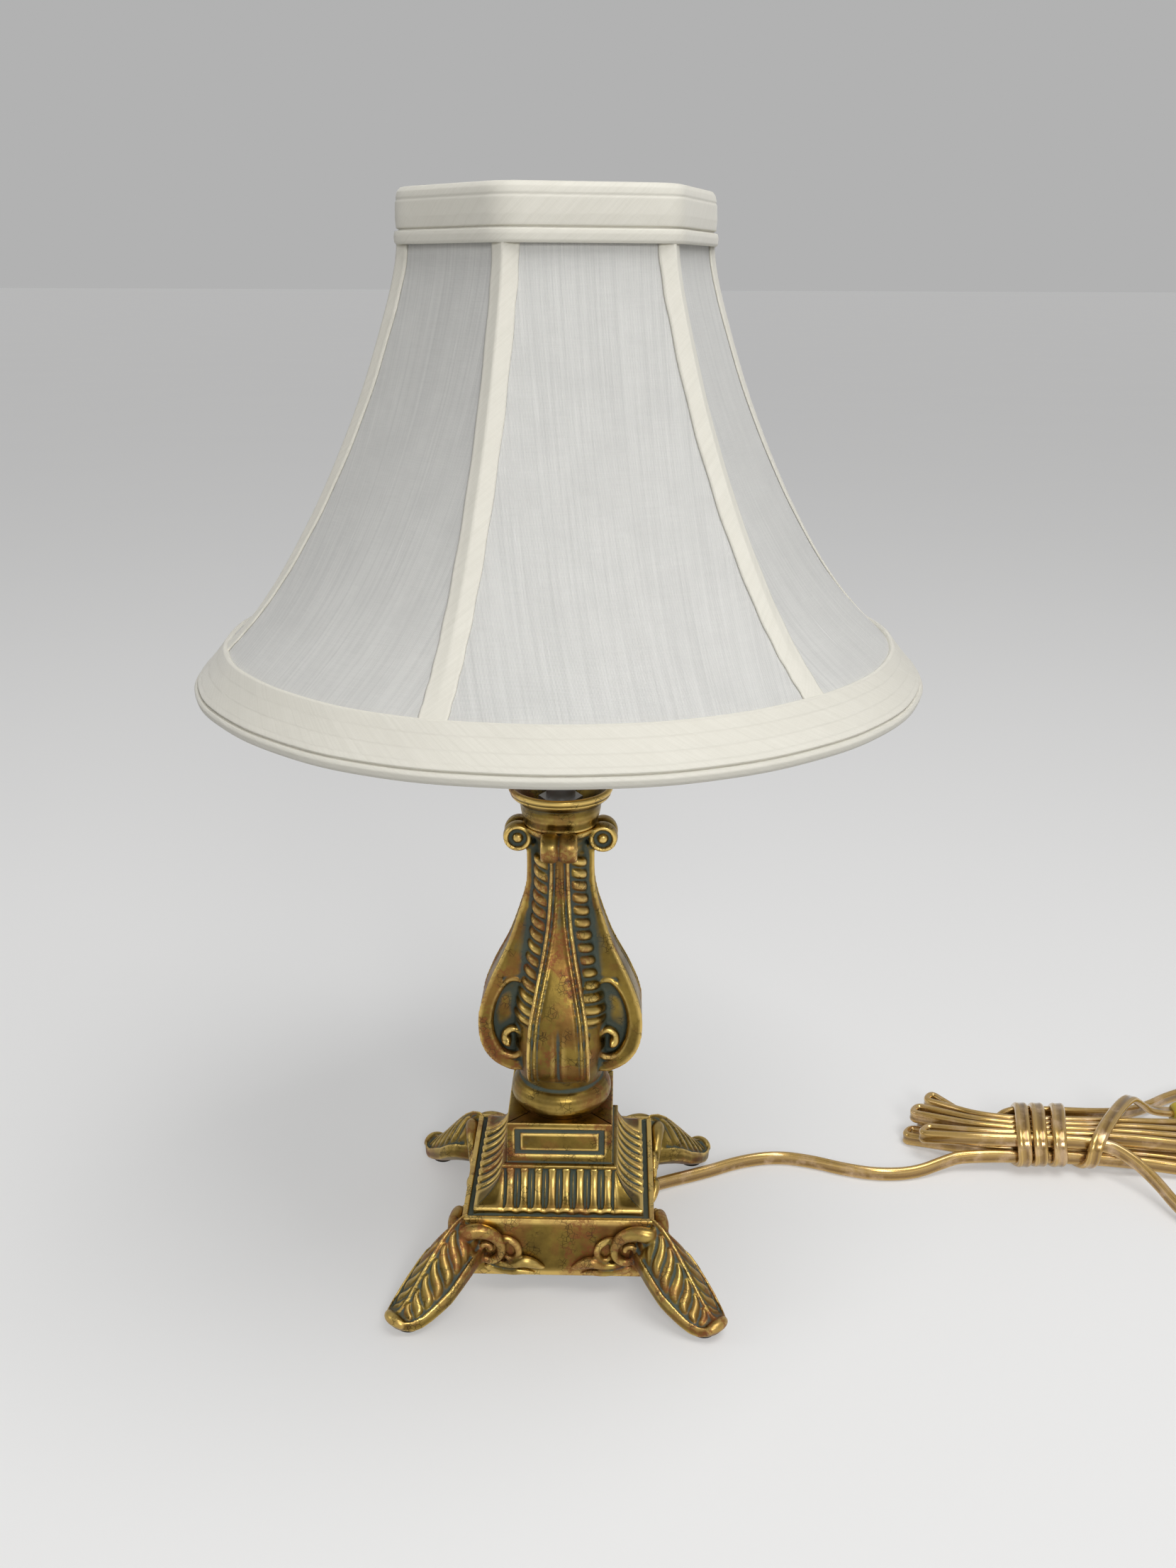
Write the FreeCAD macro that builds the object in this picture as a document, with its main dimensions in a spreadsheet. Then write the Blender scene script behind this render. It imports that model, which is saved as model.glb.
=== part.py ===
import FreeCAD, Part
import math
import os

import Sketcher

# A candlestick lamp with a hexagonal clip-on shade, as separate pieces in millimetres.
# +Z is up, the front of the base faces -Y, and the origin is on the table under the column.

Vector = FreeCAD.Vector
Rotation = FreeCAD.Rotation
Placement = FreeCAD.Placement
UP = Vector(0, 0, 1)

document = FreeCAD.newDocument("candlestick_lamp")
sheet = document.addObject("Spreadsheet::Sheet", "Sizes")

# Driving dimensions: heights are above the table, halves are half widths.
DIMENSIONS = {
    "pad_thick": 1.2,
    "slab_half": 33.0,
    "slab_low": 8.0,
    "slab_high": 30.8,
    "channel_half": 31.2,
    "channel_deep": 1.0,
    "slope_half": 29.25,
    "slope_low": 32.4,
    "ledge_half": 19.95,
    "slope_high": 42.2,
    "ledge_high": 43.8,
    "block_half": 18.3,
    "block_high": 59.3,
    "casting_wall": 3.0,
    "screw_level": 20.0,
    "screw_radius": 1.5,
    "toe_reach": 77.4,
    "column_high": 163.8,
    "torus_radius": 17.2,
    "scroll_width": 24.0,
    "cup_high": 177.0,
    "cup_lip": 17.3,
    "pipe_radius": 4.8,
    "pipe_bore": 3.6,
    "pipe_low": 45.0,
    "pipe_high": 193.0,
    "pipe_hole": 5.05,
    "socket_low": 182.0,
    "socket_high": 240.0,
    "cap_radius": 16.95,
    "shell_radius": 16.1,
    "switch_level": 204.0,
    "shaft_radius": 2.4,
    "knob_radius": 5.2,
    "bulb_radius": 30.0,
    "bulb_middle": 288.0,
    "bulb_low": 213.4,
    "bulb_cap_radius": 12.9,
    "shade_low": 217.0,
    "shade_high": 355.0,
    "shade_rim": 113.8,
    "band_corner": 49.2,
    "band_low": 343.0,
    "tape_width": 8.0,
    "cord_width": 5.6,
    "cord_thick": 2.8,
}


class Size:
    """A length that knows its value and the sheet expression that gives it."""

    def __init__(self, value, text):
        self.value = float(value)
        self.text = text

    def __add__(self, other):
        other = as_size(other)
        return Size(self.value + other.value, f"({self.text} + {other.text})")

    def __sub__(self, other):
        other = as_size(other)
        return Size(self.value - other.value, f"({self.text} - {other.text})")

    def __mul__(self, factor):
        return Size(self.value * factor, f"({self.text} * {factor})")

    def __neg__(self):
        return Size(-self.value, f"(-{self.text})")


def as_size(number):
    """A Size for a plain number, or the Size itself."""
    if isinstance(number, Size):
        return number
    return Size(number, f"({float(number)})")


def fill_sheet():
    """Writes the driving dimensions into the sheet and returns them as Sizes."""
    sizes = {}
    for row, (name, value) in enumerate(DIMENSIONS.items(), start=1):
        sheet.set(f"A{row}", name)
        sheet.set(f"B{row}", str(value))
        sheet.setAlias(f"B{row}", name)
        sizes[name] = Size(value, f"Sizes.{name}")
    document.recompute()
    return sizes


D = fill_sheet()


# ---- Helpers for bodies and sketches -------------------------------------------------


def bind(thing, name, size):
    """Ties a property to the sheet."""
    thing.setExpression(name, as_size(size).text)


def new_body(label):
    body = document.addObject("PartDesign::Body", label)
    body.Label = label
    return body


def sketch_on(body, plane, lift=None):
    """An empty sketch on one of the body's origin planes, lifted along its normal."""
    sketch = body.newObject("Sketcher::SketchObject", f"{body.Name}_sketch")
    origin = next(o for o in body.Origin.OriginFeatures if o.Role == plane)
    sketch.AttachmentSupport = [(origin, "")]
    sketch.MapMode = "FlatFace"
    if lift is not None:
        sketch.AttachmentOffset = Placement(Vector(0, 0, as_size(lift).value), Rotation())
        bind(sketch, "AttachmentOffset.Base.z", lift)
    return sketch


def arc_between(start, end, rise):
    """An arc from start to end whose middle stands rise to the left of the way there."""
    chord = end - start
    left = Vector(-chord.y, chord.x, 0).normalize()
    half = chord.Length / 2
    radius = (half * half + rise * rise) / (2 * abs(rise))
    centre = (start + end) * 0.5 + left * (rise - math.copysign(radius, rise))
    first, last = (end, start) if rise > 0 else (start, end)
    angles = [math.atan2(p.y - centre.y, p.x - centre.x) for p in (first, last)]
    if angles[1] < angles[0]:
        angles[1] += 2 * math.pi
    return Part.ArcOfCircle(Part.Circle(centre, UP, radius), angles[0], angles[1])


def draw_outline(sketch, corners):
    """Draws a closed outline of corners (x, y) or (x, y, rise).

    The rise bows the edge that ends at that corner to its left. Every corner is held
    by two dimensions that are tied to the sheet.
    """
    places = [Vector(as_size(c[0]).value, as_size(c[1]).value, 0) for c in corners]
    edges = []
    for index, corner in enumerate(corners):
        start, end = places[index - 1], places[index]
        rise = corner[2] if len(corner) > 2 else 0
        if rise:
            number = sketch.addGeometry(arc_between(start, end, rise), False)
            edges.append((number, 2, 1) if rise > 0 else (number, 1, 2))
        else:
            edges.append((sketch.addGeometry(Part.LineSegment(start, end), False), 1, 2))
    for index, (number, _, tail) in enumerate(edges):
        follower, head, _ = edges[(index + 1) % len(edges)]
        sketch.addConstraint(Sketcher.Constraint("Coincident", number, tail, follower, head))
        for kind, side in (("DistanceX", 0), ("DistanceY", 1)):
            size = as_size(corners[index][side])
            held = sketch.addConstraint(Sketcher.Constraint(kind, number, tail, size.value))
            if "Sizes" in size.text:
                sketch.setExpression(f"Constraints[{held}]", size.text)


def draw_circle(sketch, x, y, radius):
    """Draws a circle with its centre and radius tied to the sheet."""
    centre = Vector(as_size(x).value, as_size(y).value, 0)
    number = sketch.addGeometry(Part.Circle(centre, UP, as_size(radius).value), False)
    held = sketch.addConstraint(Sketcher.Constraint("Radius", number, as_size(radius).value))
    sketch.setExpression(f"Constraints[{held}]", as_size(radius).text)
    for kind, size in (("DistanceX", x), ("DistanceY", y)):
        held = sketch.addConstraint(Sketcher.Constraint(kind, number, 3, as_size(size).value))
        sketch.setExpression(f"Constraints[{held}]", as_size(size).text)


def draw_box(sketch, x, y, middle=0.0):
    """Draws a rectangle of half widths x and y, with its middle lifted up the sketch."""
    x, y, middle = as_size(x), as_size(y), as_size(middle)
    low, high = middle - y, middle + y
    draw_outline(sketch, [(-x, low), (x, low), (x, high), (-x, high)])


def mirrored(chain):
    """A chain of corners, from low to high, joined to its mirror image in the Y axis."""
    other = []
    for index in range(len(chain) - 1, -1, -1):
        x, y = chain[index][:2]
        after = chain[index + 1] if index + 1 < len(chain) else chain[index][:2]
        rise = after[2] if len(after) > 2 else 0
        other.append((-as_size(x), y, rise))
    return list(chain) + other


def revolve(body, corners):
    """Turns an outline in the XZ plane round the Z axis."""
    sketch = sketch_on(body, "XZ_Plane")
    draw_outline(sketch, corners)
    turned = body.newObject("PartDesign::Revolution", f"{body.Name}_turned")
    turned.Profile = sketch
    turned.ReferenceAxis = (sketch, ["V_Axis"])
    turned.Angle = 360
    return turned


def pad(body, sketch, length, both=True, backwards=False):
    """Pads a sketch, to both sides of its plane or to one."""
    made = body.newObject("PartDesign::Pad", f"{body.Name}_pad")
    made.Profile = sketch
    made.SideType = "Symmetric" if both else "One side"
    made.Length = as_size(length).value
    bind(made, "Length", length)
    made.Reversed = backwards
    return made


def pocket(body, sketch, length=None, both=False, backwards=False):
    """Cuts a sketch out of the body, to a length or right through."""
    made = body.newObject("PartDesign::Pocket", f"{body.Name}_pocket")
    made.Profile = sketch
    made.SideType = "Symmetric" if both else "One side"
    made.Reversed = backwards
    if length is None:
        made.Type = "ThroughAll"
    else:
        made.Length = as_size(length).value
        bind(made, "Length", length)
    return made


def polar(body, features, count):
    """Repeats features round the Z axis of the body."""
    made = body.newObject("PartDesign::PolarPattern", f"{body.Name}_round")
    made.Originals = features
    axis = next(o for o in body.Origin.OriginFeatures if o.Role == "Z_Axis")
    made.Axis = (axis, [""])
    made.Angle = 360
    made.Occurrences = count
    body.Tip = made
    return made


def turned_piece(label, corners):
    """A piece that is one turned outline."""
    body = new_body(label)
    revolve(body, corners)
    return body


def cylinder(label, radius, height, place):
    """A Part cylinder tied to the sheet."""
    made = document.addObject("Part::Cylinder", label)
    bind(made, "Radius", radius)
    bind(made, "Height", height)
    made.Placement = place
    return made


def fuse(label, pieces):
    made = document.addObject("Part::MultiFuse", label)
    made.Shapes = pieces
    made.Label = label
    return made


def shaped(label, shape):
    """A piece whose shape is worked out here from the sheet's sizes."""
    made = document.addObject("Part::Feature", label)
    made.Shape = shape
    made.Label = label
    return made


def interpolate(table, at):
    """A value from a short table of (place, value), in straight steps."""
    for (a, first), (b, last) in zip(table, table[1:]):
        if at <= b:
            return first + (last - first) * (at - a) / (b - a)
    return table[-1][1]


# ---- Base ----------------------------------------------------------------------------


def base_plinth():
    """Hollow square casting: slab, channel, hollowed slope, ledge and panelled block."""
    body = new_body("base_plinth")
    hollow = 1.9
    channel_floor = D["slab_high"] - D["channel_deep"]
    side = [
        (D["slab_half"], D["slab_low"]),
        (D["slab_half"], D["slab_high"]),
        (D["channel_half"], D["slab_high"]),
        (D["channel_half"], channel_floor),
        (D["slope_half"], channel_floor),
        (D["slope_half"], D["slope_low"]),
        (D["ledge_half"], D["slope_high"], hollow),
        (D["ledge_half"], D["ledge_high"]),
        (D["block_half"], D["ledge_high"]),
        (D["block_half"], D["block_high"]),
    ]
    front = sketch_on(body, "XZ_Plane")
    draw_outline(front, mirrored(side))
    pad(body, front, D["slab_half"] * 2)

    # The same mouldings on the other two sides, cut with what lies outside them.
    clear_half = D["slab_half"] + 2
    clear_high = D["block_high"] + 2
    waste = [
        (clear_half, D["slab_high"]),
        (clear_half, clear_high),
        (D["block_half"], clear_high),
        (D["block_half"], D["ledge_high"]),
        (D["ledge_half"], D["ledge_high"]),
        (D["ledge_half"], D["slope_high"]),
        (D["slope_half"], D["slope_low"], -hollow),
        (D["slope_half"], channel_floor),
        (D["channel_half"], channel_floor),
        (D["channel_half"], D["slab_high"]),
    ]
    sides = sketch_on(body, "YZ_Plane")
    draw_outline(sides, waste)
    rises = [c[2] if len(c) > 2 else 0 for c in waste]
    draw_outline(sides, [(-c[0], c[1], -r) for c, r in zip(waste, rises)])
    pocket(body, sides, both=True)

    # The underside is open: a wide hollow in the slab and narrower ones above it.
    wall = D["casting_wall"]
    for half, low, high in (
        (D["slab_half"] - wall, D["slab_low"], D["slab_high"] - wall),
        (D["ledge_half"] - wall, D["slab_low"], D["slope_high"] - wall),
        (D["block_half"] - wall, D["slab_low"], D["block_high"] - wall),
    ):
        opening = sketch_on(body, "XY_Plane", low)
        draw_box(opening, half, half)
        pocket(body, opening, high - low, backwards=True)
    hole = sketch_on(body, "XY_Plane", D["slab_low"])
    draw_circle(hole, 0, 0, D["pipe_hole"])
    pocket(body, hole, backwards=True)

    # Clearance holes through the slab's corners for the screws of the feet.
    for turn in (45, -45):
        bolt = sketch_on(body, "YZ_Plane")
        bolt.AttachmentOffset = Placement(Vector(), Rotation(Vector(0, 1, 0), turn))
        draw_circle(bolt, 0, D["screw_level"], D["screw_radius"] + 0.05)
        pocket(body, bolt, both=True)

    # A sunk frame round a raised panel on each face of the block.
    middle = (D["ledge_high"] + D["block_high"]) * 0.5
    frame_width, frame_deep, panel_inset = 2.6, 0.7, 5.2
    tall = (D["block_high"] - D["ledge_high"]) * 0.5
    face = sketch_on(body, "XZ_Plane", D["block_half"])
    draw_box(face, D["block_half"] - frame_width, tall - frame_width * 0.8, middle)
    draw_box(face, D["block_half"] - panel_inset, tall - panel_inset * 0.8, middle)
    sunk = pocket(body, face, frame_deep)
    polar(body, [sunk], 4)
    return body


def foot_leg(name):
    """The leg of one corner foot, along its own X axis: side view, then plan."""
    body = document.addObject("PartDesign::Body", name)
    sole = D["pad_thick"]
    toe = D["toe_reach"]
    side = sketch_on(body, "XZ_Plane")
    draw_outline(side, [
        (33.6, 12.5),
        (46.0, 11.5, 0.8),
        (66.0, sole, 3.2),
        (toe - 2.5, sole),
        (toe - 0.2, sole + 2.2, -0.6),
        (toe - 1.8, sole + 5.0, -1.0),
        (70.0, 8.6, 0.9),
        (58.5, 24.0, 2.4),
        (47.6, 30.4, -2.6),
        (40.0, 29.0),
        (33.6, 24.0, -0.8),
    ])
    pad(body, side, 34)

    # The plan narrows from the wings on the slab's faces to the toe.
    half = [
        (30.0, 16.6),
        (36.9, 15.4),
        (45.5, 12.4, 0.9),
        (66.0, 8.6, 0.8),
        (74.5, 6.6, -0.3),
        (toe + 0.4, 2.2, -0.8),
    ]
    edge = [(x, y, -c[0] if c else 0) for x, y, *c in half]
    beyond = 20.0
    plan = sketch_on(body, "XY_Plane")
    draw_outline(plan, [(28.0, beyond), (28.0, 16.6)] + edge + [
        (toe + 0.4, 0.0), (toe + 6.0, 0.0), (toe + 6.0, beyond)])
    flipped = [(x, -as_size(y), -c[0] if c else 0) for x, y, *c in edge]
    draw_outline(plan, [(28.0, -beyond), (28.0, -16.6)] + flipped + [
        (toe + 0.4, 0.0), (toe + 6.0, 0.0), (toe + 6.0, -beyond)])
    pocket(body, plan, both=True)

    # The slab's corner fits between the wings.
    corner = D["slab_half"] * math.sqrt(2)
    notch = sketch_on(body, "XY_Plane")
    draw_outline(notch, [(corner, 0), (20.0, corner - 20.0), (20.0, -(corner - 20.0))])
    pocket(body, notch, both=True)
    bolt = sketch_on(body, "YZ_Plane", 40.0)
    draw_circle(bolt, 0, D["screw_level"], D["screw_radius"] + 0.05)
    pocket(body, bolt, 11.0, backwards=True)
    return body


def scroll_on_face(name, turn, side):
    """The volute, eye and pointed leaf that a foot lays on one face of the slab."""
    face = D["slab_half"].value
    pieces = []
    for what, across, level, radius, proud in (
        ("volute", 23.4, 19.6, 5.4, 4.4),
        ("eye", 15.2, 19.0, 2.6, 3.0),
    ):
        disc = document.addObject("Part::Cylinder", f"{name}_{what}")
        disc.Radius = radius
        disc.Height = proud
        place = Vector(side * across, -face, level)
        disc.Placement = Placement(Vector(), turn) * Placement(
            place, Rotation(Vector(1, 0, 0), 90))
        pieces.append(disc)
    beak = document.addObject("PartDesign::Body", f"{name}_beak")
    drawn = sketch_on(beak, "XZ_Plane", D["slab_half"])
    tip = 4.4
    bend = 1.6 * side
    draw_outline(drawn, [
        (side * 24.0, 13.6),
        (side * tip, 11.4, -bend),
        (side * 12.5, 17.0, -bend * 0.5),
        (side * 20.0, 18.0),
    ])
    pad(beak, drawn, 2.6, both=False)
    beak.Placement = Placement(Vector(), turn)
    pieces.append(beak)
    return pieces


def corner_foot(label, quarter):
    """One cast foot: the leg on the diagonal with a scroll on each face beside it."""
    leg = foot_leg(f"{label}_leg")
    leg.Placement = Placement(Vector(), Rotation(UP, 90 * quarter - 45))
    here = Rotation(UP, 90 * quarter)
    beside = Rotation(UP, 90 * (quarter + 1))
    pieces = [leg]
    pieces += scroll_on_face(f"{label}_first", here, 1)
    pieces += scroll_on_face(f"{label}_second", beside, -1)
    return fuse(label, pieces)


FEET = ("foot_front_right", "foot_rear_right", "foot_rear_left", "foot_front_left")


def foot_pads():
    """Four felt discs under the toes."""
    discs = []
    reach = D["toe_reach"].value - 7.0
    for quarter in range(4):
        turn = Rotation(UP, 90 * quarter - 45)
        place = Placement(turn.multVec(Vector(reach, 0, 0)), Rotation())
        discs.append(Part.makeCylinder(4.0, D["pad_thick"].value, place.Base, UP))
    return shaped("foot_pads", Part.Compound(discs))


def foot_screws():
    """Four screws that hold the feet to the slab from inside, along the diagonals."""
    screws = []
    for quarter in range(4):
        turn = Rotation(UP, 90 * quarter - 45)
        outward = turn.multVec(Vector(1, 0, 0))
        start = outward * 37.7 + Vector(0, 0, D["screw_level"].value)
        head = Part.makeCylinder(2.6, 2.0, start, outward)
        shank = Part.makeCylinder(D["screw_radius"].value, 12.5, start + outward * 0.5, outward)
        screws.append(head.fuse(shank))
    return shaped("foot_screws", Part.Compound(screws))


# ---- Column --------------------------------------------------------------------------

# The front of a scroll strap: height, reach from the axis and half width.
STRAP = (
    (93.0, 27.4, 12.0),
    (101.0, 25.2, 10.6),
    (110.0, 21.3, 8.1),
    (120.0, 16.7, 5.8),
    (130.0, 13.1, 4.3),
    (140.0, 11.1, 3.5),
    (153.0, 10.9, 3.4),
)
# The core between the straps: height and radius in the valleys of its ribs.
CORE = ((67.0, 17.2), (80.0, 18.6), (90.0, 18.2), (101.0, 15.9), (112.0, 13.1),
        (125.0, 10.7), (140.0, 8.9), (158.0, 8.6))
RIB_COUNT = 14


def core_outline():
    """Outline of the turned core: a torus foot, a stack of rounded ribs and a neck."""
    hole = D["pipe_hole"]
    low = D["block_high"]
    foot, bulge = 15.7, D["torus_radius"].value - 15.7
    corners = [
        (hole, low + 0.05),
        (foot, low + 0.05),
        (foot, low + 1.3),
        (foot, low + 6.4, -bulge),
        (14.4, low + 6.4),
        (14.4, low + 7.7),
        (interpolate(CORE, 67.0), low + 7.7),
    ]
    rib_low, tallest, shrink = low.value + 7.7, 8.2, 0.27
    for rib in range(RIB_COUNT):
        tall = tallest - shrink * rib
        rib_low += tall
        corners.append((interpolate(CORE, rib_low), rib_low, -0.2 * tall))
    top = D["column_high"]
    corners += [
        (10.4, rib_low),
        (11.2, top - 2.6, -0.3),
        (12.2, top - 0.9),
        (12.2, top),
        (hole, top),
    ]
    return corners


def column_casting():
    """One casting: ribbed core, four scroll straps and the small rolls at their tops."""
    body = new_body("column_casting")
    revolve(body, core_outline())

    # Upper strap, from the narrow neck to the shoulder of the scroll.
    sections = []
    inside = 6.5
    for height, reach, half in STRAP:
        section = sketch_on(body, "XY_Plane", height)
        draw_outline(section, [(inside, -half), (reach, -half), (reach, half), (inside, half)])
        sections.append(section)
    strap = body.newObject("PartDesign::AdditiveLoft", "strap_loft")
    strap.Profile = sections[0]
    strap.Sections = sections[1:]
    strap.Ruled = False

    # The scroll that the strap rolls into above the torus.
    scroll = sketch_on(body, "XZ_Plane")
    draw_outline(scroll, [
        (9.0, 93.0),
        (9.0, 78.0),
        (15.6, 70.9, -1.2),
        (24.8, 78.2, -2.1),
        (27.4, 93.0, -1.9),
    ])
    rolled = pad(body, scroll, D["scroll_width"])

    # The eye of the scroll is sunk in both of its side faces.
    eyes = []
    for side in (1, -1):
        eye = sketch_on(body, "XZ_Plane", D["scroll_width"] * (0.5 * side))
        draw_outline(eye, [
            (17.6, 75.0),
            (22.6, 84.0, -1.2),
            (21.4, 94.5, -1.0),
            (15.0, 99.0, -1.4),
            (13.0, 84.0, -2.4),
        ])
        draw_circle(eye, 17.6, 83.4, 2.7)
        eyes.append(pocket(body, eye, 3.4, backwards=side < 0))

    # A small roll at the top of the strap.
    top_roll = sketch_on(body, "XZ_Plane")
    draw_circle(top_roll, 14.0, 159.2, 4.5)
    roll = pad(body, top_roll, 11.8)
    polar(body, [strap, rolled] + eyes + [roll], 4)
    return body


def candle_cup():
    """The cup on the column: a short neck that flares to a rolled lip round a dish."""
    hole = D["pipe_hole"]
    low = D["column_high"]
    high = D["cup_high"]
    lip = D["cup_lip"]
    return turned_piece("candle_cup", [
        (hole, low + 0.05),
        (11.6, low + 0.05),
        (12.4, low + 1.3, -0.3),
        (13.6, high - 5.2, 0.35),
        (lip - 1.3, high - 3.3, 0.5),
        (lip - 0.9, high - 0.2, -1.35),
        (14.9, high - 0.8, 0.2),
        (11.5, high - 5.2, 0.5),
        (9.2, high - 8.6, -0.3),
        (hole, high - 9.2),
    ])


# ---- Pipe, nuts and socket -----------------------------------------------------------


def tube_outline(inner, outer, low, high):
    return [(inner, low), (outer, low), (outer, high), (inner, high)]


def hex_nut(label, low, thick, across):
    """A hexagonal nut on the pipe."""
    body = new_body(label)
    drawn = sketch_on(body, "XY_Plane", low)
    corner = across / math.sqrt(3)
    ring = [(corner * math.cos(a), corner * math.sin(a))
            for a in (math.radians(60 * k) for k in range(6))]
    draw_outline(drawn, ring)
    draw_circle(drawn, 0, 0, D["pipe_radius"] + 0.05)
    pad(body, drawn, thick, both=False)
    return body


def pipe_and_fixings():
    """The threaded pipe that ties base, column and cup together, with its nuts."""
    washer_low = D["block_high"] - D["casting_wall"]
    clear = D["pipe_radius"] + 0.05
    cup_floor = D["cup_high"] - 9.0
    return [
        turned_piece("threaded_pipe", tube_outline(
            D["pipe_bore"], D["pipe_radius"], D["pipe_low"], D["pipe_high"])),
        turned_piece("base_washer", tube_outline(
            clear, 12.0, washer_low - 1.25, washer_low - 0.05)),
        turned_piece("lock_washer", tube_outline(
            clear, 8.6, washer_low - 2.5, washer_low - 1.3)),
        hex_nut("base_nut", washer_low - 7.0, 4.45, 14.3),
        turned_piece("cup_washer", tube_outline(clear, 8.0, cup_floor + 0.6, cup_floor + 1.6)),
        hex_nut("cup_nut", cup_floor + 1.65, 3.6, 12.7),
        turned_piece("cord_bushing", [
            (3.0, D["pipe_low"] - 2.2),
            (5.6, D["pipe_low"] - 2.2),
            (5.6, D["pipe_low"] - 0.05, -0.5),
            (D["pipe_bore"] - 0.05, D["pipe_low"] - 0.05),
            (D["pipe_bore"] - 0.05, D["pipe_low"] + 6),
            (3.0, D["pipe_low"] + 6),
        ]),
    ]


def socket_pieces():
    """A keyed lamp socket: cap, shell, liner, body, screw shell, contact and screws."""
    low, high = D["socket_low"], D["socket_high"]
    cap, shell = D["cap_radius"], D["shell_radius"]
    level = D["switch_level"]
    pieces = [turned_piece("socket_cap", [
        (D["pipe_radius"] + 0.05, low),
        (7.4, low),
        (7.4, low + 3.4),
        (cap, low + 12.5, 3.2),
        (cap, low + 15.5),
        (cap - 0.75, low + 15.5),
        (cap - 0.75, low + 12.7),
        (6.9, low + 4.6, -3.0),
        (6.9, low + 8.0),
        (D["pipe_radius"] + 0.05, low + 8.0),
    ])]

    window = 4.0
    for label, outer, wall, start, end in (
        ("socket_shell", shell, 0.6, low + 12.8, high),
        ("socket_liner", shell - 0.7, 0.7, low + 13.0, high - 1.5),
    ):
        body = new_body(label)
        revolve(body, tube_outline(outer - wall, outer, start, end))
        hole = sketch_on(body, "YZ_Plane", 0)
        draw_circle(hole, 0, level, window)
        pocket(body, hole, shell + 2, backwards=True)
        pieces.append(body)

    body = new_body("socket_body")
    revolve(body, [(0, low + 13.5), (12.6, low + 13.5), (13.9, low + 15.0), (13.9, low + 30),
                   (5.4, low + 30), (5.4, low + 28.6), (0, low + 28.6)])
    bore = sketch_on(body, "YZ_Plane", 4)
    draw_circle(bore, 0, level, D["shaft_radius"] + 0.08)
    pocket(body, bore, 20, backwards=True)
    pieces.append(body)

    pieces.append(turned_piece("screw_shell", [
        (5.6, low + 30.05),
        (13.9, low + 30.05),
        (13.9, high - 4),
        (13.4, high - 4),
        (13.4, low + 30.7),
        (5.6, low + 30.7),
    ]))
    pieces.append(turned_piece("centre_contact", [
        (0, low + 28.7), (4.6, low + 28.7), (4.6, low + 29.4), (2.6, low + 31.3), (0, low + 31.3)]))

    screws = []
    for side in (1, -1):
        out = Vector(0, side, 0)
        place = Vector(0, side * 13.95, level.value)
        screws.append(Part.makeCylinder(1.9, 0.55, place, out))
    pieces.append(shaped("terminal_screws", Part.Compound(screws)))

    leads = []
    for side in (1, -1):
        base = Vector(0, side * 1.35, D["pipe_low"].value - 2)
        leads.append(Part.makeCylinder(1.15, low.value + 13.2 - base.z, base, UP))
    pieces.append(shaped("lead_wires", Part.Compound(leads)))
    return pieces


def switch_pieces():
    """The turn key of the socket: a shaft through the shell and a ribbed knob."""
    level = D["switch_level"]
    along_x = Placement(Vector(5, 0, level.value), Rotation(Vector(0, 1, 0), 90))
    shaft = cylinder("switch_shaft", D["shaft_radius"], as_size(19.0), along_x)
    knob = new_body("switch_knob")
    drawn = sketch_on(knob, "YZ_Plane", 24.05)
    lobes = 6
    corner = []
    for k in range(lobes):
        a, b = math.radians(60 * k), math.radians(60 * k + 34)
        radius = D["knob_radius"].value
        corner.append((radius * math.cos(a), radius * math.sin(a) + level.value, 0.5))
        corner.append((radius * math.cos(b), radius * math.sin(b) + level.value, -0.45))
    draw_outline(drawn, corner)
    pad(knob, drawn, 13, both=False)
    return [shaft, knob]


def bulb_pieces():
    """A bulb: thin glass envelope, threaded cap and bottom contact."""
    middle, radius = D["bulb_middle"], D["bulb_radius"]
    low, cap = D["bulb_low"], D["bulb_cap_radius"]
    glass = 0.9
    inner = radius.value - glass
    diagonal = math.cos(math.radians(45))
    # An eighth of a circle bows out from its chord by this share of its radius.
    bow = 1 - math.cos(math.radians(22.5))
    pieces = [turned_piece("bulb_glass", [
        (12.2, low + 25.6),
        (12.9, low + 25.6),
        (13.1, low + 32.0),
        (24.0, middle - 18.0, 3.0),
        (radius, middle, -2.7),
        (radius * diagonal, middle + radius * diagonal, -radius.value * bow),
        (0, middle + radius, -radius.value * bow),
        (0, middle + inner),
        (inner * diagonal, middle + inner * diagonal, inner * bow),
        (inner, middle, inner * bow),
        (23.1, middle - 17.7, 2.6),
        (12.2, low + 32.2, -3.0),
    ])]
    thread, pitch = 0.45, 3.6
    outline = [(11.2, low + 1.9), (cap - 1.2, low + 1.9), (cap - thread, low + 5.0)]
    level = low + 5.0
    for _ in range(5):
        level = level + pitch
        outline.append((cap - thread, level, -thread))
    outline += [(cap - thread, low + 25.4), (11.2, low + 25.4)]
    pieces.append(turned_piece("bulb_cap", outline))
    pieces.append(turned_piece("bulb_contact", [
        (0, low), (2.6, low), (4.6, low + 0.6), (11.0, low + 1.85), (11.0, low + 3.2), (0, low + 3.2)]))
    return pieces


# ---- Shade ---------------------------------------------------------------------------

SHADE_YAW = -90 + 14.0
# The outer corner line of the fabric: height, reach, and how round the section is there.
BELL = (
    (220.2, 109.6, 1.0),
    (228.0, 103.2, 1.0),
    (234.0, 97.6, 0.9),
    (242.0, 91.0, 0.72),
    (255.0, 82.2, 0.5),
    (275.0, 71.0, 0.3),
    (300.0, 59.6, 0.16),
    (325.0, 50.8, 0.08),
    (340.0, 46.9, 0.06),
    (352.5, 46.2, 0.05),
)
PANEL_THICK = 1.0
FLAT = math.cos(math.radians(30))


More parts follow.
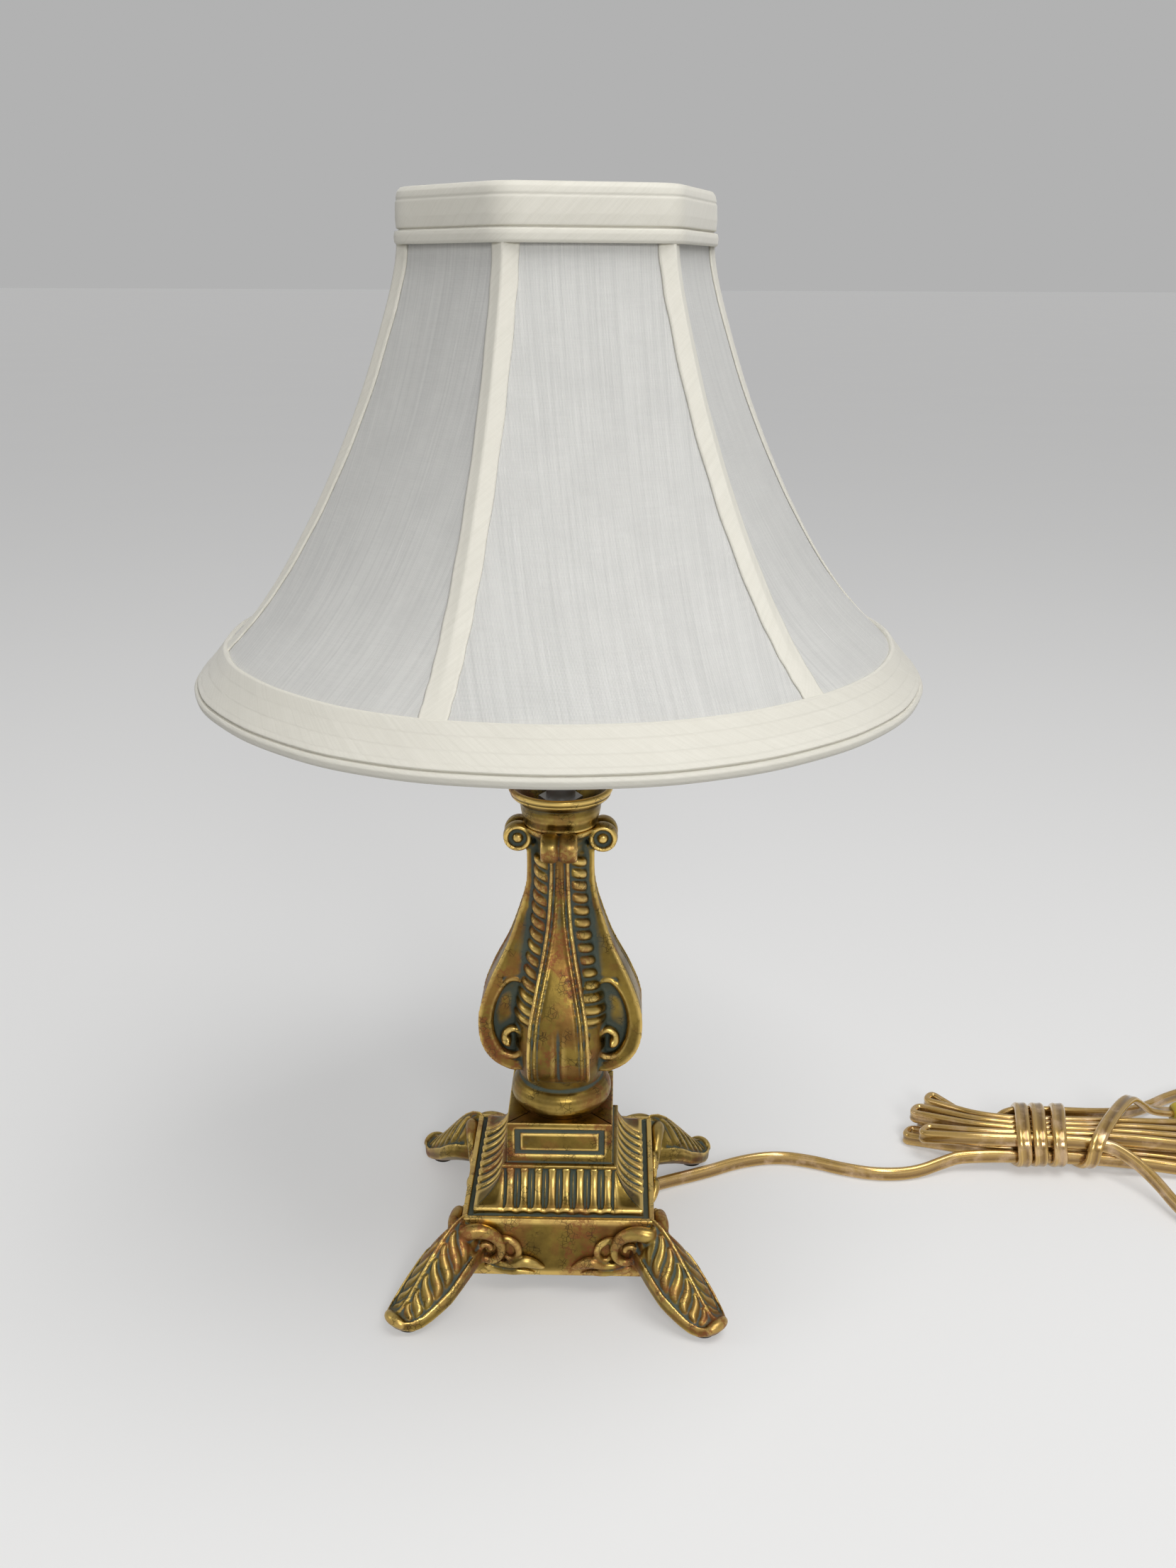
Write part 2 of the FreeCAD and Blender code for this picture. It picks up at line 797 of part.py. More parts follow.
def shade_point(reach, angle, height):
    """A point at an angle round the shade, counted from its first panel's middle."""
    turn = math.radians(SHADE_YAW + angle)
    return Vector(reach * math.cos(turn), reach * math.sin(turn), height)


def side_reach(reach, roundness):
    """How far the middle of a side stands from the axis."""
    return reach * (FLAT + (1 - FLAT) * roundness)


def shade_panel(number):
    """One fabric panel with its backing: a curved sheet between two ribs."""
    middle = 60 * number
    wires = []
    gap = 0.12
    for height, reach, roundness in BELL:
        half = 30 - math.degrees(gap / reach)
        side = side_reach(reach, roundness)
        inner, inner_side = reach - PANEL_THICK * 1.12, side - PANEL_THICK
        a, b, c = (shade_point(r, middle + t, height)
                   for r, t in ((reach, -half), (side, 0), (reach, half)))
        d, e, f = (shade_point(r, middle + t, height)
                   for r, t in ((inner, half), (inner_side, 0), (inner, -half)))
        edges = [Part.Arc(a, b, c).toShape(), Part.LineSegment(c, d).toShape(),
                 Part.Arc(d, e, f).toShape(), Part.LineSegment(f, a).toShape()]
        wires.append(Part.Wire(edges))
    return shaped(f"shade_panel_{number + 1}", Part.makeLoft(wires, True, False))


def panel_arc(reach, roundness, height, number):
    """The outer line of one panel at a height, from corner to corner."""
    middle = 60 * number
    return Part.Arc(
        shade_point(reach, middle - 30, height),
        shade_point(side_reach(reach, roundness), middle, height),
        shade_point(reach, middle + 30, height)).toShape()


def tape_section(row, corner):
    """The section of the tape over one corner of the shade, at one height."""
    height, reach, roundness = row
    lift, thick = 0.15, 0.75
    half = D["tape_width"].value / 2
    before = panel_arc(reach, roundness, height, corner)
    after = panel_arc(reach, roundness, height, corner + 1)
    places = [
        before.valueAt(before.LastParameter - half / before.Curve.Radius),
        shade_point(reach, 60 * corner + 30, height),
        after.valueAt(after.FirstParameter + half / after.Curve.Radius),
    ]
    out = shade_point(1.0, 60 * corner + 30, 0)
    low = [place + out * lift for place in places]
    high = [place + out * (lift + thick) for place in places[::-1]]
    return Part.makePolygon(low + high + low[:1])


def rib_tapes():
    """Six folded tapes over the seams, from under the band to under the hem."""
    levels = [row for row in BELL if 228.0 <= row[0] <= 341.0]
    tapes = []
    for corner in range(6):
        sections = [tape_section(row, corner) for row in levels]
        tapes.append(Part.makeLoft(sections, True, False))
    return shaped("shade_rib_tapes", Part.Compound(tapes))


def hexagon(radius, rounding):
    """Corners of a hexagon turned with the shade, each rounded by a small arc."""
    corners = []
    for k in range(6):
        for step in (-1, 1):
            at = shade_point(radius, 60 * k + 30, 0)
            towards = shade_point(radius, 60 * k + 30 + 60 * step, 0)
            place = at + (towards - at).normalize() * rounding
            rise = -rounding * 0.25 if step > 0 else 0
            corners.append((place.x, place.y, rise))
    return corners


def hex_ring(body, outer, inner, low, high, rounding):
    """Pads a hexagonal ring between two heights."""
    drawn = sketch_on(body, "XY_Plane", low)
    draw_outline(drawn, hexagon(outer, rounding))
    draw_outline(drawn, hexagon(inner, rounding))
    return pad(body, drawn, as_size(high) - low, both=False)


def shade_top_band():
    """The folded band round the top, with a welt along its lower edge."""
    body = new_body("shade_top_band")
    low, high = D["band_low"], D["shade_high"]
    corner = D["band_corner"].value
    inner = corner - 1.6
    hex_ring(body, corner - 0.7, inner, low + 0.8, high, 2.5)
    hex_ring(body, corner, inner, low, low + 3.4, 2.5)
    return body


def shade_bottom_hem():
    """The hem band that slopes down to a rolled edge."""
    rim, low = D["shade_rim"], D["shade_low"]
    body = new_body("shade_bottom_hem")
    revolve(body, [
        (rim - 2.0, low + 1.6),
        (rim - 0.6, low + 1.6),
        (rim - 9.0, low + 12.4, 0.25),
        (rim - 9.9, low + 11.8),
        (rim - 2.2, low + 2.6, -0.25),
    ])
    edge = sketch_on(body, "XZ_Plane")
    draw_circle(edge, rim - 1.75, low + 1.75, 1.75)
    roll = body.newObject("PartDesign::Revolution", "hem_roll")
    roll.Profile = edge
    roll.ReferenceAxis = (edge, ["V_Axis"])
    roll.Angle = 360
    return body


# ---- Routes: straight runs joined by tangent arcs --------------------------------------


def route_edges(points, share=0.45, limit=None):
    """Edges of a route, and the radius of each of its arcs.

    Each arc is as large as its two runs allow, or as the limit where one is given:
    share of the shorter run over the tangent of half the turn.
    """
    edges, radii = [], []
    here = points[0]
    for before, corner, after in zip(points, points[1:], points[2:]):
        back, ahead = before - corner, after - corner
        half_turn = (math.pi - back.getAngle(ahead)) / 2
        cut_back = share * min(back.Length, ahead.Length)
        if limit is not None:
            cut_back = min(cut_back, limit * math.tan(half_turn))
        radius = cut_back / math.tan(half_turn)
        first = corner + back.normalize() * cut_back
        last = corner + ahead.normalize() * cut_back
        inward = (back + ahead).normalize()
        middle = corner + inward * (radius / math.cos(half_turn) - radius)
        if (first - here).Length > 1e-4:
            edges.append(Part.LineSegment(here, first).toShape())
        edges.append(Part.Arc(first, middle, last).toShape())
        radii.append(radius)
        here = last
    edges.append(Part.LineSegment(here, points[-1]).toShape())
    return edges, radii


def round_wire(points, radius, share=0.45, limit=None):
    """A round wire swept along a route."""
    edges, _ = route_edges(points, share, limit)
    along = (points[1] - points[0]).normalize()
    circle = Part.Wire([Part.Circle(points[0], along, radius).toShape()])
    return Part.Wire(edges).makePipeShell([circle], True, False)


def shade_frame():
    """The wires inside the shade: two rings, six ribs, a three-armed spider and the clip."""
    wire = 1.3
    top_level, low_level = 350.6, 219.4
    ring_reach = 43.1
    corners = [shade_point(ring_reach, 60 * k + 30, top_level) for k in range(6)]
    start = (corners[-1] + corners[0]) * 0.5
    top_ring = round_wire([start] + corners + [start], 1.6, 0.2)

    low_reach = 106.9
    bottom_ring = Part.makeTorus(low_reach, wire, Vector(0, 0, low_level), UP)

    ribs = []
    rib_line = [(220.9, 105.9)]
    for below, row, above in zip(BELL, BELL[1:], BELL[2:-1]):
        lean = math.atan2(below[1] - above[1], above[0] - below[0])
        inset = PANEL_THICK * 1.12 + (wire + 1.1) / (FLAT * math.cos(lean))
        rib_line.append((row[0], row[1] - inset))
    rib_line.append((349.0, 43.0))
    for k in range(6):
        points = [shade_point(r, 60 * k + 30, z) for z, r in rib_line]
        ribs.append(round_wire(points, wire))
    return [
        shaped("shade_top_ring", top_ring),
        shaped("shade_bottom_ring", bottom_ring),
        shaped("shade_ribs", Part.Compound(ribs)),
    ]


def bulb_clip():
    """Two spring hoops that sit on the bulb, joined to a small plate above it."""
    middle = D["bulb_middle"].value
    wire = 1.0
    ball = D["bulb_radius"].value + wire + 0.3
    spread = math.radians(33)
    plate_low = middle + D["bulb_radius"].value + 3.0
    plate = Part.makeCylinder(8.0, 1.6, Vector(0, 0, plate_low), UP)
    solid = plate
    for side in (1, -1):
        axis = Vector(0, side * math.cos(spread), math.sin(spread))
        centre = Vector(0, 0, middle) + axis * (ball * math.cos(spread))
        hoop = Part.makeTorus(ball * math.sin(spread), wire, centre, axis)
        lift = 2 * spread
        top = Vector(0, side * ball * math.cos(lift), middle + ball * math.sin(lift))
        joint = Vector(0, side * 5.5, plate_low + 0.5)
        arm = Part.makeCylinder(wire, (joint - top).Length, top, joint - top)
        solid = solid.fuse(hoop).fuse(arm)
    return shaped("bulb_clip", solid)


def shade_spider():
    """Three arms from a hub on the clip's plate out to the top ring."""
    hub_low = D["bulb_middle"].value + D["bulb_radius"].value + 4.65
    hub = Part.makeCylinder(7.0, 2.4, Vector(0, 0, hub_low), UP)
    arm_radius = 1.4
    solid = hub
    for k in range(3):
        angle = 120 * k + 30
        points = [shade_point(r, angle, z) for r, z in (
            (4.0, hub_low + 1.2), (20.0, hub_low + 1.8), (31.0, hub_low + 12.0), (38.8, 348.8))]
        solid = solid.fuse(round_wire(points, arm_radius))
    return shaped("shade_spider", solid)


def clip_screw():
    """The short screw that holds the spider's hub to the clip's plate."""
    top = D["bulb_middle"].value + D["bulb_radius"].value + 7.1
    return shaped("clip_screw", Part.makeCylinder(3.4, 1.8, Vector(0, 0, top), UP))


# ---- Cord, hank and plug ---------------------------------------------------------------

CORD_WIDE = DIMENSIONS["cord_width"]
CORD_THICK = DIMENSIONS["cord_thick"]
# The cord lies on its edge, as a flat twin cord does where it curves sideways.
CORD_LEVEL = CORD_WIDE / 2 + 0.15
CORD_START = DIMENSIONS["pipe_low"] - 2.0
CORD_HEADING = math.radians(37.9)


def twin_section(place, along, wide):
    """The flat section of the cord at a place, square to its direction."""
    side = along.cross(wide).normalize() * (CORD_THICK / 2)
    reach = wide * ((CORD_WIDE - CORD_THICK) / 2)
    tip = wide * (CORD_WIDE / 2)
    a, b, c, d = (place + reach + side, place + reach - side,
                  place - reach - side, place - reach + side)
    return Part.Wire([
        Part.Arc(a, place + tip, b).toShape(),
        Part.LineSegment(b, c).toShape(),
        Part.Arc(c, place - tip, d).toShape(),
        Part.LineSegment(d, a).toShape(),
    ])


def twin_cord(label, points, wide, share=0.45, limit=None):
    """Sweeps the flat cord along a route, and prints the radii and the volume."""
    edges, radii = route_edges(points, share, limit)
    along = (points[1] - points[0]).normalize()
    spine = Part.Wire(edges)
    solid = spine.makePipeShell([twin_section(points[0], along, wide)], True, False)
    area = (CORD_WIDE - CORD_THICK) * CORD_THICK + math.pi * CORD_THICK ** 2 / 4
    ratio = solid.Volume / (area * spine.Length)
    print(f"{label}: length {spine.Length:.0f}, radii {min(radii):.1f} to {max(radii):.1f},"
          f" volume ratio {ratio:.4f}")
    return shaped(label, solid), edges


def free_route():
    """Route of the cord from the base to the hank, over the table."""
    down = [(0.0, CORD_START), (0.0, 28.5), (7.3, 16.0), (20.2, 9.2), (34.1, 5.2)]
    points = [Vector(s * math.cos(CORD_HEADING), s * math.sin(CORD_HEADING), z) for s, z in down]
    on_table = [(38.4, 30.0), (54.5, 37.2), (69.2, 45.4), (83.8, 49.0), (97.2, 46.4),
                (110.2, 40.9), (123.4, 37.9), (137.5, 39.4)]
    points += [Vector(x, y, CORD_LEVEL) for x, y in on_table]
    points[5].z += 0.4
    points += [Vector(150.0, 44.6, 4.9), Vector(158.0, 46.25, LAYER_LOW),
               Vector(HANK_START, 46.25, LAYER_LOW)]
    return points


# The hank: strands lie side by side in six columns and two layers, folded back and forth.
STRANDS = 11
COLUMNS = 6
WAIST_PITCH = 3.3
END_PITCH = 6.2
WAIST_MIDDLE = 54.5
WAIST_LEFT, WAIST_RIGHT = 169.4, 212.0
LAYER_LOW, LAYER_RISE, END_DROP = 6.95, 7.3, 4.0
HANK_START, HANK_END = 166.0, 198.0
FAN_ANGLE = math.radians(33)
FAN_REACH = (23.0, 32.0, 31.0)
RIGHT_END, RIGHT_MIDDLE = 262.0, 55.7


def hank_column(strand):
    """The column, counted from the near side, that a strand of the hank lies in."""
    return strand if strand <= COLUMNS else 2 * COLUMNS - strand


def left_reach(strand):
    """How far the fold at the left end of a strand stands out from the waist."""
    pair = strand // 2
    middle = (hank_column(2 * pair) + hank_column(2 * pair + 1)) / 2
    return FAN_REACH[int((middle - 0.5) / 2)]


def strand_run(strand):
    """The corners of one strand of the hank, from its left end to its right end."""
    offset = hank_column(strand) - (COLUMNS + 1) / 2
    side = WAIST_MIDDLE + offset * WAIST_PITCH
    corner = WAIST_LEFT + offset * WAIST_PITCH * math.tan(FAN_ANGLE / 2)
    level = LAYER_LOW + (LAYER_RISE if strand > COLUMNS else 0)
    left_level = LAYER_LOW - END_DROP + (LAYER_RISE if strand >= COLUMNS else 0)
    out = Vector(-math.cos(FAN_ANGLE), math.sin(FAN_ANGLE), 0)
    across = Vector(math.sin(FAN_ANGLE), math.cos(FAN_ANGLE), 0)
    left = Vector(WAIST_LEFT, WAIST_MIDDLE, left_level)
    left += out * left_reach(strand) + across * (offset * END_PITCH)
    stagger = 3.0 * ((strand + 1) // 2 % 2)
    right = Vector(RIGHT_END + stagger, RIGHT_MIDDLE + offset * END_PITCH, level - END_DROP)
    return [left, Vector(corner, side, level), Vector(WAIST_RIGHT, side, level), right]


def hank_route():
    """Route of the hank from its start at the near side to its last strand on top."""
    start = Vector(HANK_START, strand_run(1)[1].y, LAYER_LOW)
    points = [start] + strand_run(1)[2:]
    for strand in range(2, STRANDS):
        run = strand_run(strand)
        points += run if strand % 2 else run[::-1]
    last = strand_run(STRANDS)
    return points + last[:2] + [Vector(HANK_END, last[1].y, last[1].z)]


def loop_route():
    """Route of the loose loop, from the last strand round to the far side of the wraps."""
    top = LAYER_LOW + LAYER_RISE
    low = CORD_LEVEL
    return [Vector(*p) for p in (
        (HANK_END, 46.25, top), (210.5, 45.9, top), (220.0, 40.2, 11.8), (227.0, 29.6, 8.4),
        (231.5, 16.5, 5.2), (238.0, 3.5, 3.4), (249.0, -6.5, low), (264.0, -11.0, low),
        (280.0, -8.5, low), (294.0, 1.5, low), (303.5, 16.5, low), (309.0, 34.0, low),
        (311.5, 53.0, low), (309.0, 72.0, low), (301.5, 89.5, low), (288.0, 102.0, low),
        (271.5, 105.5, low), (256.0, 98.5, low), (243.0, 88.0, 3.9), (229.5, 78.5, 7.0),
        (217.0, 71.9, 10.6), (206.0, 67.6, 13.4), (196.5, 66.9, top), (WRAPS_START, 66.9, top))]


# The wraps are the same cord on its flat, here of a round section of about equal area.
WRAP_RADIUS = 1.8
WRAPS_START, FIRST_WRAP = 187.0, 176.0
WRAP_NEAR, WRAP_FAR = 42.2, 70.9
WRAP_LOW, WRAP_HIGH = 1.95, 19.25
WRAP_BACK = 3.0
WRAP_STEPS = (6.0, 6.3, 7.2)


def wraps_route():
    """Route of the wraps round the waist, and of the tail that ends at the plug."""
    top = LAYER_LOW + LAYER_RISE
    x = FIRST_WRAP
    points = [Vector(WRAPS_START, 66.9, top), Vector(x, 66.9, top), Vector(x, 66.9, WRAP_LOW)]
    for step in WRAP_STEPS:
        points += [
            Vector(x + step, WRAP_NEAR, WRAP_LOW),
            Vector(x + step - WRAP_BACK, WRAP_NEAR, WRAP_HIGH),
            Vector(x + 2 * step - WRAP_BACK, WRAP_FAR, WRAP_HIGH),
            Vector(x + 2 * step - 2 * WRAP_BACK, WRAP_FAR, WRAP_LOW),
        ]
        x += 2 * (step - WRAP_BACK)
    tail = ((206.5, 41.4, WRAP_LOW), (207.5, 41.6, WRAP_HIGH), (228.0, 71.2, WRAP_HIGH),
            (235.0, 77.5, 14.0), (243.0, 81.5, 6.4), (252.0, 81.5, 6.4))
    return points + [Vector(*p) for p in tail]


def flat_gap(p, q):
    """The gap between two places of a cord on edge, by its thickness or its width."""
    return max(math.hypot(p.x - q.x, p.y - q.y) - CORD_THICK, abs(p.z - q.z) - CORD_WIDE)


def round_gap(p, q):
    """The gap between two places of the round wraps."""
    return (p - q).Length - 2 * WRAP_RADIUS


def least_gap(edges, skip, gap):
    """The least gap of a cord to itself, measured on points along its route.

    Places nearer than skip along the cord are left out.
    """
    points, travelled = [], 0.0
    for edge in edges:
        count = max(2, int(edge.Length / 1.5))
        for step in range(count):
            share = step / count
            span = edge.FirstParameter + share * (edge.LastParameter - edge.FirstParameter)
            points.append((travelled + share * edge.Length, edge.valueAt(span)))
        travelled += edge.Length
    least = math.inf
    for index, (here, p) in enumerate(points):
        for there, q in points[index + 1:]:
            if there - here < skip:
                continue
            least = min(least, gap(p, q))
    return least


def plug_pieces():
    """A flat two-blade plug lying behind the hank, and its blades."""
    end = wraps_route()[-1]
    body = new_body("plug_body")
    drawn = sketch_on(body, "XY_Plane", 0.15)
    x, y = end.x, end.y
    draw_outline(drawn, [
        (x, y - 4.6), (x + 7.0, y - 5.2, 0.3), (x + 10.5, y - 8.8), (x + 24.0, y - 9.4, -0.4),
        (x + 24.0, y + 9.4), (x + 10.5, y + 8.8, -0.4), (x + 7.0, y + 5.2), (x, y + 4.6, 0.3)])
    pad(body, drawn, 12.2, both=False)
    blades = []
    for side in (1, -1):
        blades.append(Part.makeBox(16.5, 1.5, 6.3, Vector(x + 24.0, y + side * 6.35 - 0.75, 3.1)))
    return [body, shaped("plug_blades", Part.Compound(blades))]


def cord_pieces():
    """The cord in its four lengths, and the plug at its end."""
    wide = Vector(math.cos(CORD_HEADING), math.sin(CORD_HEADING), 0)
    free, _ = twin_cord("cord_free_run", free_route(), wide)
    hank, strands = twin_cord("cord_hank", hank_route(), UP, share=0.5, limit=20.0)
    print(f"cord_hank: least gap {least_gap(strands, 9.5, flat_gap):.2f}")
    loose, _ = twin_cord("cord_loose_loop", loop_route(), UP)
    turns, radii = route_edges(wraps_route(), limit=4.6)
    solid = round_wire(wraps_route(), WRAP_RADIUS, limit=4.6)
    length = sum(edge.Length for edge in turns)
    ratio = solid.Volume / (math.pi * WRAP_RADIUS ** 2 * length)
    print(f"cord_wraps: length {length:.0f}, radii {min(radii):.1f} to {max(radii):.1f},"
          f" volume ratio {ratio:.4f}, least gap {least_gap(turns, 18.0, round_gap):.2f}")
    return [free, hank, loose, shaped("cord_wraps", solid)] + plug_pieces()


# ---- The whole lamp ---------------------------------------------------------------------


def build_all():
    """Every piece of the lamp, in the order in which it is put together."""
    pieces = [base_plinth()]
    pieces += [corner_foot(label, quarter) for quarter, label in enumerate(FEET)]
    pieces += [foot_pads(), foot_screws(), column_casting(), candle_cup()]
    pieces += pipe_and_fixings()
    pieces += socket_pieces()
    pieces += switch_pieces()
    pieces += bulb_pieces()
    pieces += [shade_panel(number) for number in range(6)]
    pieces += [rib_tapes(), shade_top_band(), shade_bottom_hem()]
    pieces += shade_frame()
    pieces += [bulb_clip(), shade_spider(), clip_screw()]
    pieces += cord_pieces()
    return pieces


def write_all(pieces):
    """Checks every object of the document and writes each piece to its file."""
    document.recompute()
    broken = [o.Name for o in document.Objects if {"Invalid", "Error"} & set(o.State)]
    broken += [p.Label for p in pieces if p.Shape.isNull() or not p.Shape.isValid()]
    if broken:
        raise RuntimeError("these failed: " + ", ".join(broken))
    os.makedirs("parts", exist_ok=True)
    for piece in pieces:
        piece.Shape.exportStep(f"parts/{piece.Label}.step")
        print(f"{piece.Label}: {len(piece.Shape.Solids)} solids, {piece.Shape.Volume:.0f} mm3")


write_all(build_all())
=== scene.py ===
"""A candlestick lamp with a silk bell shade, made piece by piece.

+Z is up, the front of the base faces -Y, and the table is at height 0. Sizes in the
classes are in millimetres, and the meshes are in metres.
"""
import logging
import math
from dataclasses import dataclass
from enum import Enum
from typing import Callable, Sequence

import bmesh
import bpy
import numpy as np
from mathutils import Matrix, Vector


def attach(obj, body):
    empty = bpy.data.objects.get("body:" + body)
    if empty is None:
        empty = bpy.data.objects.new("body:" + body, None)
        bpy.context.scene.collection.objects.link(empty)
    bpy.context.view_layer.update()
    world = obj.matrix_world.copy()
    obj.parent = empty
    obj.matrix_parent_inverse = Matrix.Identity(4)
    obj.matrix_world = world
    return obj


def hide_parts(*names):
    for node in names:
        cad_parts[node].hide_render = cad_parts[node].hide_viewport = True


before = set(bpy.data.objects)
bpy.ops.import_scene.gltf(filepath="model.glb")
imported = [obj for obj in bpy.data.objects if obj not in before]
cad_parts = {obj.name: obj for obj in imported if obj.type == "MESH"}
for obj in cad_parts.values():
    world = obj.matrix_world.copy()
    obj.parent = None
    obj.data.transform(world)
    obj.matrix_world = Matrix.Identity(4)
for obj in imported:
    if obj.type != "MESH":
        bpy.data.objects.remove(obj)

logging.basicConfig(level=logging.INFO, format="%(message)s")
LOG = logging.getLogger("candlestick_lamp")

MM = 0.001
# The threads of the cloth are counted on surface coordinates in decimetres.
DECIMETRE = 100.0
# How much of its radius a tube has at its last three rings, which round its end.
ROUND_END = np.sqrt(1 - np.array([0.94, 0.6, 0.0]) ** 2)
RGB = tuple[float, float, float]
Row = tuple[float, ...]
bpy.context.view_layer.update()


# ---- Forms ------------------------------------------------------------------------------


def new_object(name: str, data: bpy.types.ID) -> bpy.types.Object:
    """A new object in the scene."""
    made = bpy.data.objects.new(name, data)
    bpy.context.scene.collection.objects.link(made)
    return made


def headings(line: np.ndarray) -> np.ndarray:
    """The direction of a line at each of its points, of length 1."""
    ahead = np.gradient(line, axis=0)
    return ahead / np.linalg.norm(ahead, axis=1)[:, None]


def travelled(line: np.ndarray) -> np.ndarray:
    """How far along a line each of its points lies."""
    return np.concatenate([[0], np.cumsum(np.linalg.norm(np.diff(line, axis=0), axis=1))])


class Form:
    """Points and faces in millimetres, gathered before they become one object."""

    def __init__(self) -> None:
        """Starts with nothing."""
        self.points: list[np.ndarray] = []
        self.quads: list[np.ndarray] = []
        self.lids: list[list[int]] = []
        self.places: list[np.ndarray] = []
        self.count = 0

    def grid(self, rows: np.ndarray, loop: bool = False, lids: bool = False,
             marks: tuple[np.ndarray, np.ndarray] | None = None) -> None:
        """Adds a grid of points with a face in each of its cells, closed round its rows.

        Args:
            rows: Points, as rows by columns by three.
            loop: Whether the last row joins the first.
            lids: Whether the first and last rows are closed with a face each.
            marks: Values along the columns, with one more than there are columns, and
                along the rows, that become the surface's coordinates.
        """
        tall, wide = rows.shape[:2]
        base = self.count
        self.points.append(rows.reshape(-1, 3))
        self.count += tall * wide
        row = np.arange(tall if loop else tall - 1)[:, None]
        column = np.arange(wide)[None, :]
        after, beside = (row + 1) % tall, (column + 1) % wide
        corners = (row * wide + column, row * wide + beside,
                   after * wide + beside, after * wide + column)
        self.quads.append(base + np.stack(corners, -1).reshape(-1, 4))
        across = np.arange(wide + 1) / wide if marks is None else marks[0]
        along = np.arange(tall + 1) / tall if marks is None else marks[1]
        spread = np.zeros((row.shape[0], column.shape[1]), int)
        i, j = row + spread, column + spread
        ahead = np.minimum(i + 1, len(along) - 1)
        pairs = ((j, i), (j + 1, i), (j + 1, ahead), (j, ahead))
        self.places.append(np.stack(
            [np.stack([across[a], along[b]], -1) for a, b in pairs], 2).reshape(-1, 2))
        if lids:
            self.lids.append(list(range(base, base + wide))[::-1])
            last = base + (tall - 1) * wide
            self.lids.append(list(range(last, last + wide)))

    def tube(self, path: np.ndarray, radii: Sequence[float], sides: int = 14,
             flat: float = 1.0, face: Row = (0.0, 0.0, 1.0)) -> None:
        """Adds a closed tube of changing radius along a smooth line through some points.

        Args:
            path: The points that it follows.
            radii: Its radius at each of them.
            sides: Points round it.
            flat: Its thickness toward the face direction over its width.
            face: The direction in which it is thin.
        """
        line, size = smooth_line(path, radii)
        ahead, front = headings(line), np.array(face, float)
        out = front[None, :] - (ahead @ front)[:, None] * ahead
        out /= np.maximum(np.linalg.norm(out, axis=1), 1e-6)[:, None]
        beside = np.cross(ahead, out)
        turn = np.linspace(0, 2 * np.pi, sides, endpoint=False)
        size[:3] *= ROUND_END
        size[-3:] *= ROUND_END[::-1]
        ring = (np.cos(turn)[None, :, None] * beside[:, None, :]
                + flat * np.sin(turn)[None, :, None] * out[:, None, :])
        self.grid(line[:, None, :] + size[:, None, None] * ring, lids=True)

    def turned(self, outline: Sequence[Row], sides: int,
               reach: Callable[[np.ndarray, np.ndarray, np.ndarray], np.ndarray] | None = None,
               ) -> None:
        """Adds a closed outline of radius and height turned round the axis.

        Args:
            outline: The radius and height of each point.
            sides: Points round the axis.
            reach: Gives the radii from the plain radii, the heights and the angles.
        """
        table = np.array(outline, float)
        angle = np.linspace(0, 2 * np.pi, sides, endpoint=False)
        radius = np.repeat(table[:, :1], sides, 1)
        height = np.repeat(table[:, 1:2], sides, 1)
        turn = np.repeat(angle[None, :], len(table), 0)
        if reach is not None:
            radius = reach(radius, height, turn)
        self.grid(np.stack([radius * np.cos(turn), radius * np.sin(turn), height], -1),
                  loop=True)

    def add(self, part: "Form", turn: np.ndarray) -> None:
        """Adds another form, turned."""
        self.points += [points @ turn.T for points in part.points]
        self.quads += [quads + self.count for quads in part.quads]
        self.places += part.places
        self.lids += [[index + self.count for index in lid] for lid in part.lids]
        self.count += part.count

    def build(self, name: str, place: Matrix | None = None) -> bpy.types.Object:
        """Makes the object.

        Args:
            name: The object's name.
            place: A turn or shift of the points, if any, in millimetres.

        Returns:
            The object, with its points in metres and smooth faces.
        """
        points = np.concatenate(self.points)
        if place is not None:
            table = np.array(place)
            points = points @ table[:3, :3].T + table[:3, 3]
        quads = np.concatenate(self.quads)
        mesh = bpy.data.meshes.new(name)
        mesh.from_pydata((points * MM).tolist(), [], quads.tolist() + self.lids)
        corner_count = len(quads) * 4
        spots = np.zeros((len(mesh.loops), 2))
        spots[:corner_count] = np.concatenate(self.places)
        layer = mesh.uv_layers.new(name="surface")
        layer.data.foreach_set("uv", spots.astype(np.float32).ravel())
        mesh.polygons.foreach_set("use_smooth", [True] * len(mesh.polygons))
        mesh.validate()
        mesh.update()
        return new_object(name, mesh)


def smooth_line(points: np.ndarray, values: Sequence[float], steps: int = 6,
                ) -> tuple[np.ndarray, np.ndarray]:
    """A smooth line through points, with a value carried along it.

    Args:
        points: The points that it goes through.
        values: A value at each of them.
        steps: Places on each stretch between two points.

    Returns:
        The line's places and the values there.
    """
    table = np.column_stack([np.array(points, float), np.array(values, float)])
    padded = np.vstack([2 * table[0] - table[1], table, 2 * table[-1] - table[-2]])
    share = np.linspace(0, 1, steps, endpoint=False)[:, None]
    runs = []
    for k in range(1, len(padded) - 2):
        a, b, c, d = padded[k - 1:k + 3]
        runs.append(0.5 * (2 * b + (c - a) * share + (2 * a - 5 * b + 4 * c - d) * share ** 2
                           + (3 * b - a - 3 * c + d) * share ** 3))
    runs.append(table[-1:])
    whole = np.vstack(runs)
    return whole[:, :3], np.maximum(whole[:, 3], 0.05)


